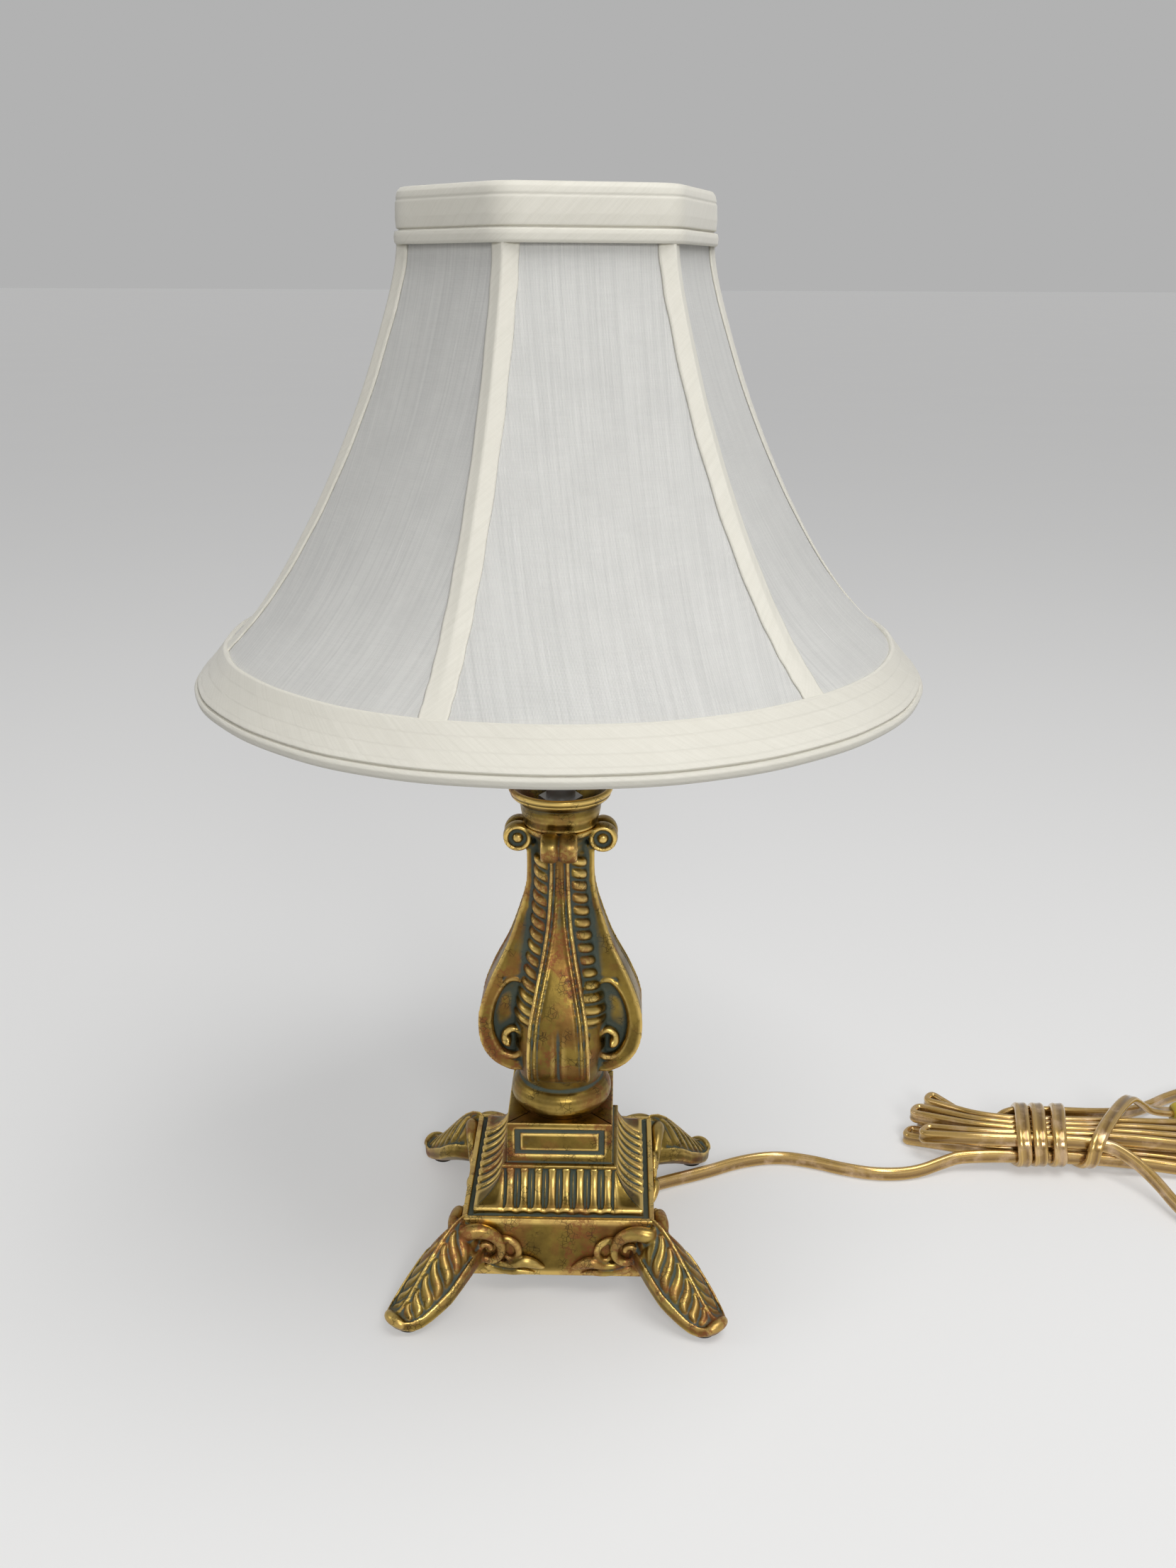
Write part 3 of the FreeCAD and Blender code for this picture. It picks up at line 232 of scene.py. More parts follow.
def softened(outline: Sequence[Row], radius: float = 0.35, longest: float = 1.6,
             closed: bool = True) -> list[Row]:
    """An outline with its corners rounded and its long runs divided.

    Args:
        outline: Its points.
        radius: How far each corner is cut back.
        longest: The longest run that is left whole.
        closed: Whether it runs on from the last point to the first.

    Returns:
        The new outline.
    """
    corners = [np.array(p, float) for p in outline]
    made: list[np.ndarray] = []
    for before, here, after in zip(corners[-1:] + corners[:-1], corners,
                                   corners[1:] + corners[:1]):
        back, ahead = before - here, after - here
        cut = min(radius, np.linalg.norm(back) * 0.45, np.linalg.norm(ahead) * 0.45)
        first = here + back / max(np.linalg.norm(back), 1e-9) * cut
        last = here + ahead / max(np.linalg.norm(ahead), 1e-9) * cut
        made += [first, (first + last) * 0.25 + here * 0.5, last]
    if not closed:
        made = corners[:1] + made[3:-3] + corners[-1:]
    whole: list[Row] = []
    for here, after in zip(made, made[1:] + made[:1] if closed else made[1:]):
        count = max(1, math.ceil(np.linalg.norm(after - here) / longest))
        whole += [tuple(here + (after - here) * k / count) for k in range(count)]
    return whole


def fused(thing: bpy.types.Object, cell: float) -> None:
    """Joins an object's overlapping forms into one skin.

    Args:
        thing: The object.
        cell: The size of its new faces, in millimetres.
    """
    step = thing.modifiers.new("fuse", "REMESH")
    step.mode = "VOXEL"
    step.voxel_size = cell * MM
    step.use_smooth_shade = True
    graph = bpy.context.evaluated_depsgraph_get()
    mesh = bpy.data.meshes.new_from_object(thing.evaluated_get(graph))
    old = thing.data
    thing.modifiers.clear()
    thing.data = mesh
    mesh.name = thing.name
    bpy.data.meshes.remove(old)
    drop_specks(mesh)


def drop_specks(mesh: bpy.types.Mesh) -> None:
    """Deletes all but the largest of a mesh's separate parts."""
    work = bmesh.new()
    work.from_mesh(mesh)
    left = set(work.verts)
    parts = []
    while left:
        front = [left.pop()]
        part = list(front)
        while front:
            beside = {e.other_vert(v) for v in front for e in v.link_edges} & left
            left -= beside
            front = list(beside)
            part += front
        parts.append(part)
    for part in sorted(parts, key=len)[:-1]:
        bmesh.ops.delete(work, geom=part, context="VERTS")
    work.to_mesh(mesh)
    work.free()


def relaxed(points: np.ndarray, pairs: np.ndarray, rounds: int) -> np.ndarray:
    """Points drawn toward the mean of their neighbours.

    Args:
        points: The points.
        pairs: The two ends of each edge.
        rounds: How many times.

    Returns:
        The new points.
    """
    count = len(points)
    ends = np.concatenate([pairs[:, 0], pairs[:, 1]])
    others = np.concatenate([pairs[:, 1], pairs[:, 0]])
    degree = np.maximum(np.bincount(ends, minlength=count), 1)[:, None]
    for _ in range(rounds):
        mean = np.stack([np.bincount(ends, weights=points[others, axis], minlength=count)
                         for axis in range(3)], 1) / degree
        points = 0.5 * (points + mean)
    return points


@dataclass(frozen=True)
class Wear:
    """How wide and deep the forms are that count as worn edges and filled hollows, and where shade
    is painted.
    """

    # Rounds of smoothing that give the near surroundings, and the height that counts as 1.
    rounds: int
    full: float
    # Rounds of smoothing that the piece itself gets first.
    calm: int = 0
    # The same as the first two for wider surroundings, which only darken, painting shade into
    # broad recesses as the green of the hollows.
    wide_rounds: int = 0
    wide_full: float = 2.0


def mark_relief(thing: bpy.types.Object, wear: Wear) -> None:
    """Writes on each point how far it stands out of, or lies in, its surroundings.

    Args:
        thing: The object.
        wear: What counts as standing out.
    """
    mesh = thing.data
    count = len(mesh.vertices)
    flat = np.empty(count * 3)
    mesh.vertices.foreach_get("co", flat)
    points = flat.reshape(-1, 3)
    pairs = np.empty(len(mesh.edges) * 2, np.int32)
    mesh.edges.foreach_get("vertices", pairs)
    pairs = pairs.reshape(-1, 2)
    if wear.calm:
        points = relaxed(points, pairs, wear.calm)
        mesh.vertices.foreach_set("co", points.ravel())
        mesh.update()
    normals = np.empty(count * 3)
    mesh.vertex_normals.foreach_get("vector", normals)
    faced = normals.reshape(-1, 3)
    near = relaxed(points, pairs, wear.rounds)
    relief = ((points - near) * faced).sum(1) / (wear.full * MM)
    # The wider surroundings only deepen the hollows, so broad recesses get the hollows' dark green
    # as painted shade.
    if wear.wide_rounds:
        far = relaxed(near, pairs, wear.wide_rounds)
        relief += np.minimum(0, ((points - far) * faced).sum(1) / (wear.wide_full * MM))
    layer = mesh.attributes.new("relief", "FLOAT", "POINT")
    layer.data.foreach_set("value", np.clip(relief, -1, 1).astype(np.float32))


def outward(thing: bpy.types.Object) -> None:
    """Turns the faces of a closed object outward."""
    work = bmesh.new()
    work.from_mesh(thing.data)
    bmesh.ops.recalc_face_normals(work, faces=work.faces)
    work.to_mesh(thing.data)
    work.free()


def step_up(value: np.ndarray, low: float, high: float) -> np.ndarray:
    """A smooth rise from 0 at low to 1 at high."""
    share = np.clip((value - low) / (high - low), 0, 1)
    return share * share * (3 - 2 * share)


def hump(value: np.ndarray, middle: float, width: float) -> np.ndarray:
    """A soft hump of height 1 round a middle."""
    return np.exp(-((value - middle) / width) ** 2)


# ---- Finishes ---------------------------------------------------------------------------


class Graph:
    """Adds nodes to a shader tree and joins them."""

    def __init__(self, tree: bpy.types.NodeTree) -> None:
        """Works on one tree."""
        self.tree = tree

    def node(self, kind: str, inputs: dict | None = None, **settings: object) -> bpy.types.Node:
        """Adds one node.

        Args:
            kind: Its type, without the common prefix.
            inputs: Sockets to join or values to set, by name or number.
            settings: Its properties.

        Returns:
            The node.
        """
        made = self.tree.nodes.new(f"ShaderNode{kind}")
        for name, value in settings.items():
            setattr(made, name, value)
        for key, value in (inputs or {}).items():
            if isinstance(value, bpy.types.NodeSocket):
                self.tree.links.new(value, made.inputs[key])
            else:
                made.inputs[key].default_value = value
        return made

    def join(self, node: bpy.types.Node, **values: bpy.types.NodeSocket) -> None:
        """Joins values to a node's inputs, whose names get underscores for spaces."""
        for title, value in values.items():
            self.tree.links.new(value, node.inputs[title.replace("_", " ")])

    def place(self) -> bpy.types.NodeSocket:
        """The place on the object, in metres."""
        return self.node("TexCoord").outputs["Object"]

    def spot(self) -> bpy.types.NodeSocket:
        """The surface coordinates."""
        return self.node("UVMap", uv_map="surface").outputs[0]

    def remap(self, value: bpy.types.NodeSocket, low: float, high: float,
              start: float = 0.0, end: float = 1.0) -> bpy.types.NodeSocket:
        """A value carried from one range to another, and held inside it."""
        return self.node("MapRange", {0: value, 1: low, 2: high, 3: start, 4: end}).outputs[0]

    def math(self, operation: str, a: object, b: object = 0.0) -> bpy.types.NodeSocket:
        """The result of an operation on two values."""
        return self.node("Math", {0: a, 1: b}, operation=operation).outputs[0]

    def times(self, a: object, b: object) -> bpy.types.NodeSocket:
        """The product of two values."""
        return self.math("MULTIPLY", a, b)

    def plus(self, a: object, b: object) -> bpy.types.NodeSocket:
        """The sum of two values."""
        return self.math("ADD", a, b)

    def minus(self, a: object, b: object) -> bpy.types.NodeSocket:
        """The difference of two values."""
        return self.math("SUBTRACT", a, b)

    def blend(self, share: object, a: object, b: object) -> bpy.types.NodeSocket:
        """A colour between two colours."""
        sides = [(*c, 1.0) if isinstance(c, tuple) and len(c) == 3 else c for c in (a, b)]
        return self.node("Mix", {0: share, 6: sides[0], 7: sides[1]},
                         data_type="RGBA").outputs[2]

    def noise(self, place: bpy.types.NodeSocket, scale: float, detail: float = 3.0,
              rough: float = 0.5) -> bpy.types.NodeSocket:
        """Soft noise at a scale, in cells to the metre."""
        return self.node("TexNoise", {"Vector": place, "Scale": scale, "Detail": detail,
                                      "Roughness": rough}).outputs[0]

    def stretched(self, place: bpy.types.NodeSocket, scale: Row) -> bpy.types.NodeSocket:
        """A place scaled along its three axes."""
        return self.node("Mapping", {"Vector": place, "Scale": scale}).outputs[0]


def new_group(name: str, inputs: dict[str, float], outputs: Sequence[str],
              ) -> tuple[Graph, bpy.types.Node, bpy.types.Node]:
    """An empty node group with value sockets.

    Args:
        name: The group's name.
        inputs: The inputs and their values.
        outputs: The outputs.

    Returns:
        The group's graph, its input node and its output node.
    """
    tree = bpy.data.node_groups.new(name, "ShaderNodeTree")
    for title, value in inputs.items():
        socket = tree.interface.new_socket(title, in_out="INPUT", socket_type="NodeSocketFloat")
        socket.default_value = value
    for title in outputs:
        tree.interface.new_socket(title, in_out="OUTPUT", socket_type="NodeSocketFloat")
    return Graph(tree), tree.nodes.new("NodeGroupInput"), tree.nodes.new("NodeGroupOutput")


def patina_group() -> bpy.types.NodeTree:
    """Masks of old cast metal, from the relief that is written on it.

    Returns:
        A group whose outputs are the worn edges, the filled hollows with the painted shade of
        broad recesses, the brown blotches, the fine crackle and a height.
    """
    graph, start, end = new_group("old_metal", {"Grain": 1.0, "Blotches": 0.5},
                                  ("Edge", "Hollow", "Blotch", "Crackle", "Height"))
    place = graph.place()
    relief = graph.node("Attribute", attribute_name="relief").outputs["Fac"]
    wander = graph.times(graph.minus(graph.noise(place, 85.0, 5.0, 0.62), 0.5), 0.9)
    edge = graph.remap(graph.plus(relief, graph.times(wander, 0.3)), 0.12, 0.62)
    # Green in the hollows, which in broad recesses is painted shade.
    hollow = graph.remap(graph.plus(relief, wander), -0.12, -0.52)
    spots = graph.noise(place, 120.0, 8.0, 0.7)
    veins = graph.math("ABSOLUTE", graph.minus(spots, 0.5))
    net = graph.remap(graph.remap(veins, 0.045, 0.0), 0.0, 1.0, 0.35, 1.0)
    stain = graph.plus(graph.times(graph.noise(place, 42.0, 2.0, 0.5), 0.55),
                       graph.times(spots, 0.5))
    patch = graph.remap(stain, 0.520, 0.575)
    blotch = graph.times(graph.times(patch, net), start.outputs["Blotches"])
    cells = graph.node("TexVoronoi", {"Vector": place, "Scale": 620.0, "Randomness": 1.0},
                       feature="DISTANCE_TO_EDGE").outputs["Distance"]
    cracked = graph.remap(graph.noise(place, 150.0, 3.0), 0.52, 0.60)
    crackle = graph.times(graph.remap(cells, 0.10, 0.0), cracked)
    grain = graph.times(graph.noise(place, 900.0, 4.0, 0.6), start.outputs["Grain"])
    graph.join(end, Edge=edge, Hollow=hollow, Blotch=blotch, Crackle=crackle, Height=grain)
    return graph.tree


def cloth_group() -> bpy.types.NodeTree:
    """Threads of a fine cloth, from the surface coordinates in decimetres.

    Returns:
        A group whose outputs are the height of the threads, the light slubs among them
        and the slow changes of tone.
    """
    graph, start, end = new_group("fine_cloth", {"Bias": 0.0, "Thread": 90.0},
                                  ("Height", "Slub", "Tone"))
    spot = graph.spot()
    turned = graph.node("VectorRotate", {"Vector": spot, "Angle": start.outputs["Bias"]},
                        rotation_type="Z_AXIS").outputs[0]
    warp = graph.noise(graph.stretched(turned, (1.0, 0.012, 1.0)), 110.0, 2.0, 0.7)
    ribs = graph.node("TexWave", {"Vector": turned, "Scale": start.outputs["Thread"],
                                  "Distortion": 1.2, "Detail": 1.0, "Detail Scale": 2.0},
                      bands_direction="X").outputs["Fac"]
    weft = graph.noise(graph.stretched(turned, (0.05, 1.0, 1.0)), 260.0, 2.0, 0.6)
    height = graph.plus(graph.times(ribs, 0.5), graph.plus(warp, graph.times(weft, 0.35)))
    slub = graph.remap(graph.noise(graph.stretched(turned, (1.0, 0.03, 1.0)), 42.0, 4.0, 0.75),
                       0.66, 0.74)
    graph.join(end, Height=height, Slub=slub, Tone=graph.noise(spot, 9.0, 3.0, 0.6))
    return graph.tree


def surface_group() -> bpy.types.NodeTree:
    """Handling marks of plain parts.

    Returns:
        A group whose outputs are slow changes of tone, fine scratches and a height.
    """
    graph, start, end = new_group("handled", {"Size": 1.0}, ("Tone", "Scratch", "Height"))
    sized = graph.node("VectorMath", {0: graph.place(), 3: start.outputs["Size"]},
                       operation="SCALE").outputs[0]
    lines = graph.noise(graph.stretched(sized, (1.0, 1.0, 0.06)), 1500.0, 2.0)
    graph.join(end, Tone=graph.noise(sized, 140.0, 4.0, 0.6),
               Scratch=graph.remap(lines, 0.56, 0.70),
               Height=graph.noise(sized, 1100.0, 3.0, 0.55))
    return graph.tree


GROUPS: dict[str, bpy.types.NodeTree] = {
    "patina": patina_group(), "cloth": cloth_group(), "surface": surface_group()}


def new_material(name: str, **sockets: object,
                 ) -> tuple[bpy.types.Material, Graph, bpy.types.Node]:
    """A material with a Principled shader.

    Args:
        name: The material's name.
        sockets: Values set on the shader, with underscores for spaces.

    Returns:
        The material, its graph and the shader.
    """
    material = bpy.data.materials.new(name)
    material.use_nodes = True
    graph = Graph(material.node_tree)
    shader = material.node_tree.nodes["Principled BSDF"]
    for key, value in sockets.items():
        shader.inputs[key.replace("_", " ")].default_value = value
    return material, graph, shader


def add_bump(graph: Graph, shader: bpy.types.Node, height: bpy.types.NodeSocket,
             depth: float, strength: float = 0.5) -> None:
    """Gives a shader a bump.

    Args:
        graph: The material's graph.
        shader: Its shader.
        height: The height, about 0 to 1.
        depth: How far 1 stands out, in millimetres.
        strength: The share of the bump that shows.
    """
    bump = graph.node("Bump", {"Height": height, "Distance": depth * MM, "Strength": strength})
    graph.join(shader, Normal=bump.outputs[0])


@dataclass(frozen=True)
class AgedMetal:
    """Cast brass with bright worn edges, green filled hollows, painted shade in broad recesses and
    brown stains.
    """

    name: str = "aged_brass"
    body: RGB = (0.300, 0.202, 0.044)
    dull: RGB = (0.140, 0.092, 0.023)
    bright: RGB = (0.84, 0.59, 0.185)
    # The dark green of the hollows, also painted as shade in broad recesses.
    hollow: RGB = (0.050, 0.085, 0.076)
    stain: RGB = (0.24, 0.050, 0.012)
    blotches: float = 1.0
    rough: float = 0.29
    crack: RGB = (0.03, 0.02, 0.01)
    # How far the filled hollows, with the painted shade of broad recesses among them, and the
    # stains hide the metal, and how much they roughen it.
    hollow_cover: float = 0.92
    stain_cover: float = 0.45
    cover_rough: float = 0.36
    depth: float = 0.06

    def make(self) -> bpy.types.Material:
        """The material."""
        material, graph, shader = new_material(self.name)
        masks = graph.node("Group", {"Blotches": self.blotches}, node_tree=GROUPS["patina"])
        edge, hollow, blotch, crackle, height = masks.outputs
        cloud = graph.remap(graph.noise(graph.place(), 55.0, 5.0, 0.65), 0.36, 0.64)
        colour = graph.blend(cloud, self.dull, self.body)
        colour = graph.blend(edge, colour, self.bright)
        # The blend with the hollows' dark green is also the painted shade of broad recesses.
        for mask, share, tint in ((blotch, 0.8, self.stain), (crackle, 0.8, self.crack),
                                  (hollow, 0.85, self.hollow)):
            colour = graph.blend(graph.times(mask, share), colour, tint)
        cover = graph.math("MAXIMUM", graph.times(hollow, self.hollow_cover),
                           graph.times(blotch, self.stain_cover))
        rough = graph.plus(graph.remap(cloud, 0.0, 1.0, self.rough + 0.10, self.rough),
                           graph.times(cover, self.cover_rough))
        graph.join(shader, Base_Color=colour, Metallic=graph.minus(1.0, cover), Roughness=rough)
        add_bump(graph, shader, height, self.depth)
        return material


@dataclass(frozen=True)
class Cloth:
    """A fine cloth with ribs, slubs, slow changes of tone and painted shade where its threads lie
    low.
    """

    name: str
    colour: RGB
    # The darker colour: painted shade where the threads lie low, and the slow changes of tone.
    shade: RGB
    slub: RGB
    bias: float = 0.0
    thread: float = 90.0
    depth: float = 0.10
    slub_share: float = 0.7

    def make(self) -> bpy.types.Material:
        """The material."""
        material, graph, shader = new_material(self.name, Roughness=0.62, Sheen_Weight=0.25,
                                               Sheen_Roughness=0.45, Specular_IOR_Level=0.3)
        threads = graph.node("Group", {"Bias": self.bias, "Thread": self.thread},
                             node_tree=GROUPS["cloth"])
        height, slub, tone = threads.outputs
        # Darker where the threads lie low: painted shade between the threads.
        colour = graph.blend(graph.remap(height, 0.55, 1.15), self.shade, self.colour)
        colour = graph.blend(graph.remap(tone, 0.35, 0.75, 0.0, 0.35), colour, self.shade)
        colour = graph.blend(graph.times(slub, self.slub_share), colour, self.slub)
        graph.join(shader, Base_Color=colour)
        add_bump(graph, shader, height, self.depth, 0.6)
        return material


@dataclass(frozen=True)
class ClearCord:
    """Twisted copper seen through gold-tinted vinyl, with painted shade in the valleys between the
    conductors.
    """

    name: str = "gold_vinyl_cord"
    gold: RGB = (0.68, 0.44, 0.13)
    # The dark colour of the gaps between strands, and of the painted shade in the valleys.
    deep: RGB = (0.24, 0.125, 0.022)
    rose: RGB = (0.88, 0.62, 0.38)
    # The angle of the strands over the cord's girth, and over a millimetre of its length.
    around_turn: float = 75.4
    along_turn: float = 0.22
    depth: float = 0.05

    def make(self) -> bpy.types.Material:
        """The material."""
        material, graph, shader = new_material(self.name, Roughness=0.24, Coat_Weight=0.9,
                                               Coat_Roughness=0.07, IOR=1.53)
        around, along, _ = graph.node("SeparateXYZ", {0: graph.spot()}).outputs
        twist = graph.plus(graph.times(around, self.around_turn),
                           graph.times(along, self.along_turn))
        strands = graph.remap(graph.math("SINE", twist), -1.0, 1.0)
        valley = graph.math("ABSOLUTE", graph.math("SINE", graph.times(around, 2 * math.pi)))
        drift = graph.noise(graph.place(), 130.0, 4.0, 0.6)
        # Darker in the valleys between the two conductors: painted shade.
        colour = graph.blend(graph.remap(valley, 0.0, 0.55), self.deep, self.gold)
        colour = graph.blend(graph.times(strands, 0.30), colour, self.deep)
        colour = graph.blend(graph.remap(drift, 0.50, 0.68, 0.0, 0.55), colour, self.rose)
        graph.join(shader, Base_Color=colour, Metallic=graph.remap(strands, 0.0, 1.0, 0.85, 0.55))
        add_bump(graph, shader, strands, self.depth)
        return material


@dataclass(frozen=True)
class Plain:
    """A plain material with handling marks."""

    name: str
    colour: RGB
    worn: RGB
    metal: float = 0.0
    rough: float = 0.4
    depth: float = 0.03
    size: float = 1.0

    def make(self) -> bpy.types.Material:
        """The material."""
        material, graph, shader = new_material(self.name, Metallic=self.metal)
        marks = graph.node("Group", {"Size": self.size}, node_tree=GROUPS["surface"])
        tone, scratch, height = marks.outputs
        colour = graph.blend(graph.remap(tone, 0.3, 0.7), self.colour, self.worn)
        colour = graph.blend(graph.times(scratch, 0.3), colour, self.worn)
        rough = graph.remap(tone, 0.25, 0.75, self.rough, self.rough + 0.14)
        graph.join(shader, Base_Color=colour, Roughness=rough)
        add_bump(graph, shader, height, self.depth)
        return material


class Finish(Enum):
    """The finishes of the lamp's pieces."""

    CASTING = AgedMetal()
    SHEET_BRASS = AgedMetal("sheet_brass", (0.62, 0.42, 0.14), (0.42, 0.28, 0.09),
                            (0.88, 0.66, 0.28), blotches=0.3, rough=0.24)
    CLIP_BRASS = AgedMetal("brass_wire", (0.50, 0.35, 0.13), (0.34, 0.23, 0.09),
                           (0.80, 0.60, 0.28), blotches=0.25, rough=0.3)
    SILK = Cloth("ribbed_silk", (0.70, 0.695, 0.665), (0.52, 0.518, 0.50), (0.90, 0.895, 0.86),
                 depth=0.14)
    TAPE = Cloth("bias_tape", (0.80, 0.775, 0.69), (0.70, 0.675, 0.59), (0.88, 0.86, 0.78),
                 bias=0.72, thread=130.0, depth=0.07, slub_share=0.4)
    CORD = ClearCord()
    STEEL = Plain("plain_steel", (0.40, 0.41, 0.42), (0.55, 0.55, 0.54), 1.0, 0.34)
    ALUMINIUM = Plain("rolled_shell", (0.70, 0.70, 0.71), (0.60, 0.59, 0.57), 1.0, 0.28)
    BLACK = Plain("moulded_black", (0.018, 0.016, 0.015), (0.035, 0.032, 0.03), 0.0, 0.3)
    CARD = Plain("pressed_card", (0.25, 0.20, 0.115), (0.33, 0.27, 0.17), 0.0, 0.8)
    FELT = Plain("short_felt", (0.045, 0.040, 0.034), (0.075, 0.068, 0.058), 0.0, 0.95, depth=0.3)
    WIRE = Plain("white_wire", (0.72, 0.69, 0.62), (0.58, 0.54, 0.45), 0.0, 0.42)
    GLASS = Plain("frosted_glass", (0.90, 0.89, 0.85), (0.86, 0.85, 0.80), 0.0, 0.38)
    PLUG = Plain("yellow_vinyl", (0.60, 0.46, 0.035), (0.50, 0.37, 0.03), 0.0, 0.22)

    def material(self) -> bpy.types.Material:
        """The finish's material, made once."""
        name = self.value.name
        return bpy.data.materials.get(name) or self.value.make()


def dress(thing: bpy.types.Object, finish: Finish) -> None:
    """Gives an object one finish in all its slots."""
    material = finish.material()
    if not thing.material_slots:
        thing.data.materials.append(material)
    for held in thing.material_slots:
        held.material = material


def finish_piece(thing: bpy.types.Object, finish: Finish, body: str, slot: str, *nodes: str,
                 cell: float = 0.0, wear: Wear | None = None) -> bpy.types.Object:
    """Dresses a piece and puts it on its body, in place of the plain pieces it stands for.

    Args:
        thing: The piece.
        finish: Its finish.
        body: The body that it rides on.
        slot: The slot that its finish belongs to, which is not used.
        nodes: The plain pieces.
        cell: The size of its new faces where its forms are fused, in millimetres, or 0.
        wear: What its relief is marked by, if it is cast.

    Returns:
        The piece.
    """
    outward(thing)
    if cell:
        fused(thing, cell)
    if wear:
        mark_relief(thing, wear)
    dress(thing, finish)
    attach(thing, body)
    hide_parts(*nodes)
    LOG.info("%s on %s, for %s", thing.name, body, ", ".join(nodes))
    return thing


# ---- Base -------------------------------------------------------------------------------


@dataclass
class Plinth:
    """The square base: slab, channel, fluted slope, ledge and panelled block."""

    slab: float = 33.0
    slab_low: float = 8.0
    slab_high: float = 30.8
    slope: float = 29.25
    slope_low: float = 32.4
    ledge: float = 19.95
    slope_high: float = 42.2
    ledge_high: float = 43.8
    block: float = 18.3
    block_high: float = 59.3
    wall: float = 3.0
    flutes: int = 8
    flute_half: float = 19.4
    flute_steps: int = 13
    flute_deep: float = 1.25
    ridge_high: float = 0.45
    bar_high: float = 0.35
    frame_deep: float = 0.95
    hollow_curve: float = 1.9
    slope_rows: int = 26
    bore: float = 5.6
    # The shares of the way from a corner to the first flute where there are points.
    corner_steps: Row = (0.0, 0.02, 0.06, 0.14, 0.3, 0.5, 0.7, 0.86)
    wear: Wear = Wear(14, 0.35, 0, 60, 1.5)

    def outline(self) -> list[Row]:
        """The closed outline of half width, height and what the point belongs to.

        Returns:
            Rows of half width, height, and the share up the slope or -1.
        """
        wall = self.wall
        lower = [(self.bore, self.block_high), (self.bore, self.block_high - wall),
                 (self.block - wall, self.block_high - wall),
                 (self.block - wall, self.slope_high - wall),
                 (self.ledge - wall, self.slope_high - wall),
                 (self.ledge - wall, self.slab_high - wall),
                 (self.slab - wall, self.slab_high - wall), (self.slab - wall, self.slab_low),
                 (self.slab, self.slab_low), (self.slab, self.slab_high),
                 (31.3, self.slab_high), (30.9, 29.9), (self.slope + 0.1, 29.8),
                 (self.slope, self.slope_low)]
        upper = [(self.ledge, self.slope_high), (self.ledge + 0.25, self.slope_high + 0.35),
                 (self.ledge + 0.25, self.ledge_high - 0.3),
                 (self.ledge - 0.5, self.ledge_high), (self.block + 0.15, self.ledge_high),
                 (self.block, self.ledge_high + 0.5), (self.block, self.block_high),
                 (12.0, self.block_high), (self.bore, self.block_high)]
        rows = [(h, z, -1.0) for h, z in softened(lower, 0.3, 2.2, False)]
        start = np.array([self.slope, self.slope_low])
        end = np.array([self.ledge, self.slope_high])
        side = np.array([end[1] - start[1], start[0] - end[0]]) / np.linalg.norm(end - start)
        for k in range(self.slope_rows + 1):
            share = k / self.slope_rows
            inward = -self.hollow_curve * 4 * share * (1 - share)
            here = start + (end - start) * share + side * inward
            rows.append((here[0], here[1], share))
        rows += [(h, z, -1.0) for h, z in softened(upper, 0.22, 0.42, False)[1:]]
        return rows

    def groove(self, across: np.ndarray, share: float) -> np.ndarray:
        """How deep the flutes are at places across the slope.

        Args:
            across: Distances from the middle of the side.
            share: The share up the slope.

        Returns:
            Depths in millimetres.
        """
        pitch = 2 * self.flute_half / self.flutes
        from_bar = np.abs((across + self.flute_half) / pitch % 1.0 - 0.5)
        flare = 0.10 * math.exp(-share / 0.07) + 0.07 * math.exp(-(1 - share) / 0.05)
        cut = step_up(from_bar, 0.23 + flare, 0.30 + flare)
        ridge = step_up(from_bar, 0.42, 0.47)
        bar = self.bar_high * np.clip(1 - (from_bar / (0.25 + flare)) ** 2, 0, 1)
        inside = np.abs(across) < self.flute_half
        ends = math.sin(math.pi * min(1.0, share / 0.06 + 0.2) / 2)
        flute = self.flute_deep * cut - self.ridge_high * ridge * cut
        return np.where(inside, flute * ends - bar, 0.0)

    def sunk(self, across: np.ndarray, height: float) -> np.ndarray:
        """How deep the sunk frame of the block is at places across it."""
        middle = (self.ledge_high + self.block_high) / 2 + 0.2
        tall = (self.block_high - self.ledge_high) / 2 - 0.4
        rim = np.minimum(self.block - np.abs(across), (tall - abs(height - middle)) * 1.15)
        frame_cut = step_up(rim, 2.5, 2.9) * (1 - step_up(rim, 4.5, 4.9))
        return self.frame_deep * frame_cut + 0.12 * step_up(rim, 5.0, 5.6)

    def build(self) -> bpy.types.Object:
        """Makes the base.

        Returns:
            The base, in place.
        """
        inner = np.linspace(-self.flute_half, self.flute_half, self.flutes * self.flute_steps + 1)
        outer = np.array(self.corner_steps)
        rows = []
        for half, height, share in self.outline():
            reach = min(self.flute_half, half * self.flute_half / self.ledge)
            left = -half + (half - reach) * outer
            across = np.concatenate([left, inner * (reach / self.flute_half), -left[::-1]])[:-1]
            depth = np.zeros_like(across)
            if share >= 0:
                depth = self.groove(across, share)
            elif abs(half - self.block) < 0.02:
                depth = self.sunk(across, height)
            corner = 0.32 * np.clip(1 - (half - np.abs(across)) / 0.6, 0, 1) ** 2
            out = -(half - depth * (0.72 if share >= 0 else 1.0) - corner)
            lower = np.where(share >= 0, -depth * 0.6, 0.0) + height
            side = np.stack([across, out, lower], -1)
            turned = []
            for _ in range(4):
                turned.append(side)
                side = np.stack([-side[:, 1], side[:, 0], side[:, 2]], -1)
            rows.append(np.concatenate(turned))
        form = Form()
        form.grid(np.array(rows), loop=True)
        return finish_piece(form.build("cast_plinth"), Finish.CASTING, "lamp", "antique_brass",
                            "base_plinth", wear=self.wear)


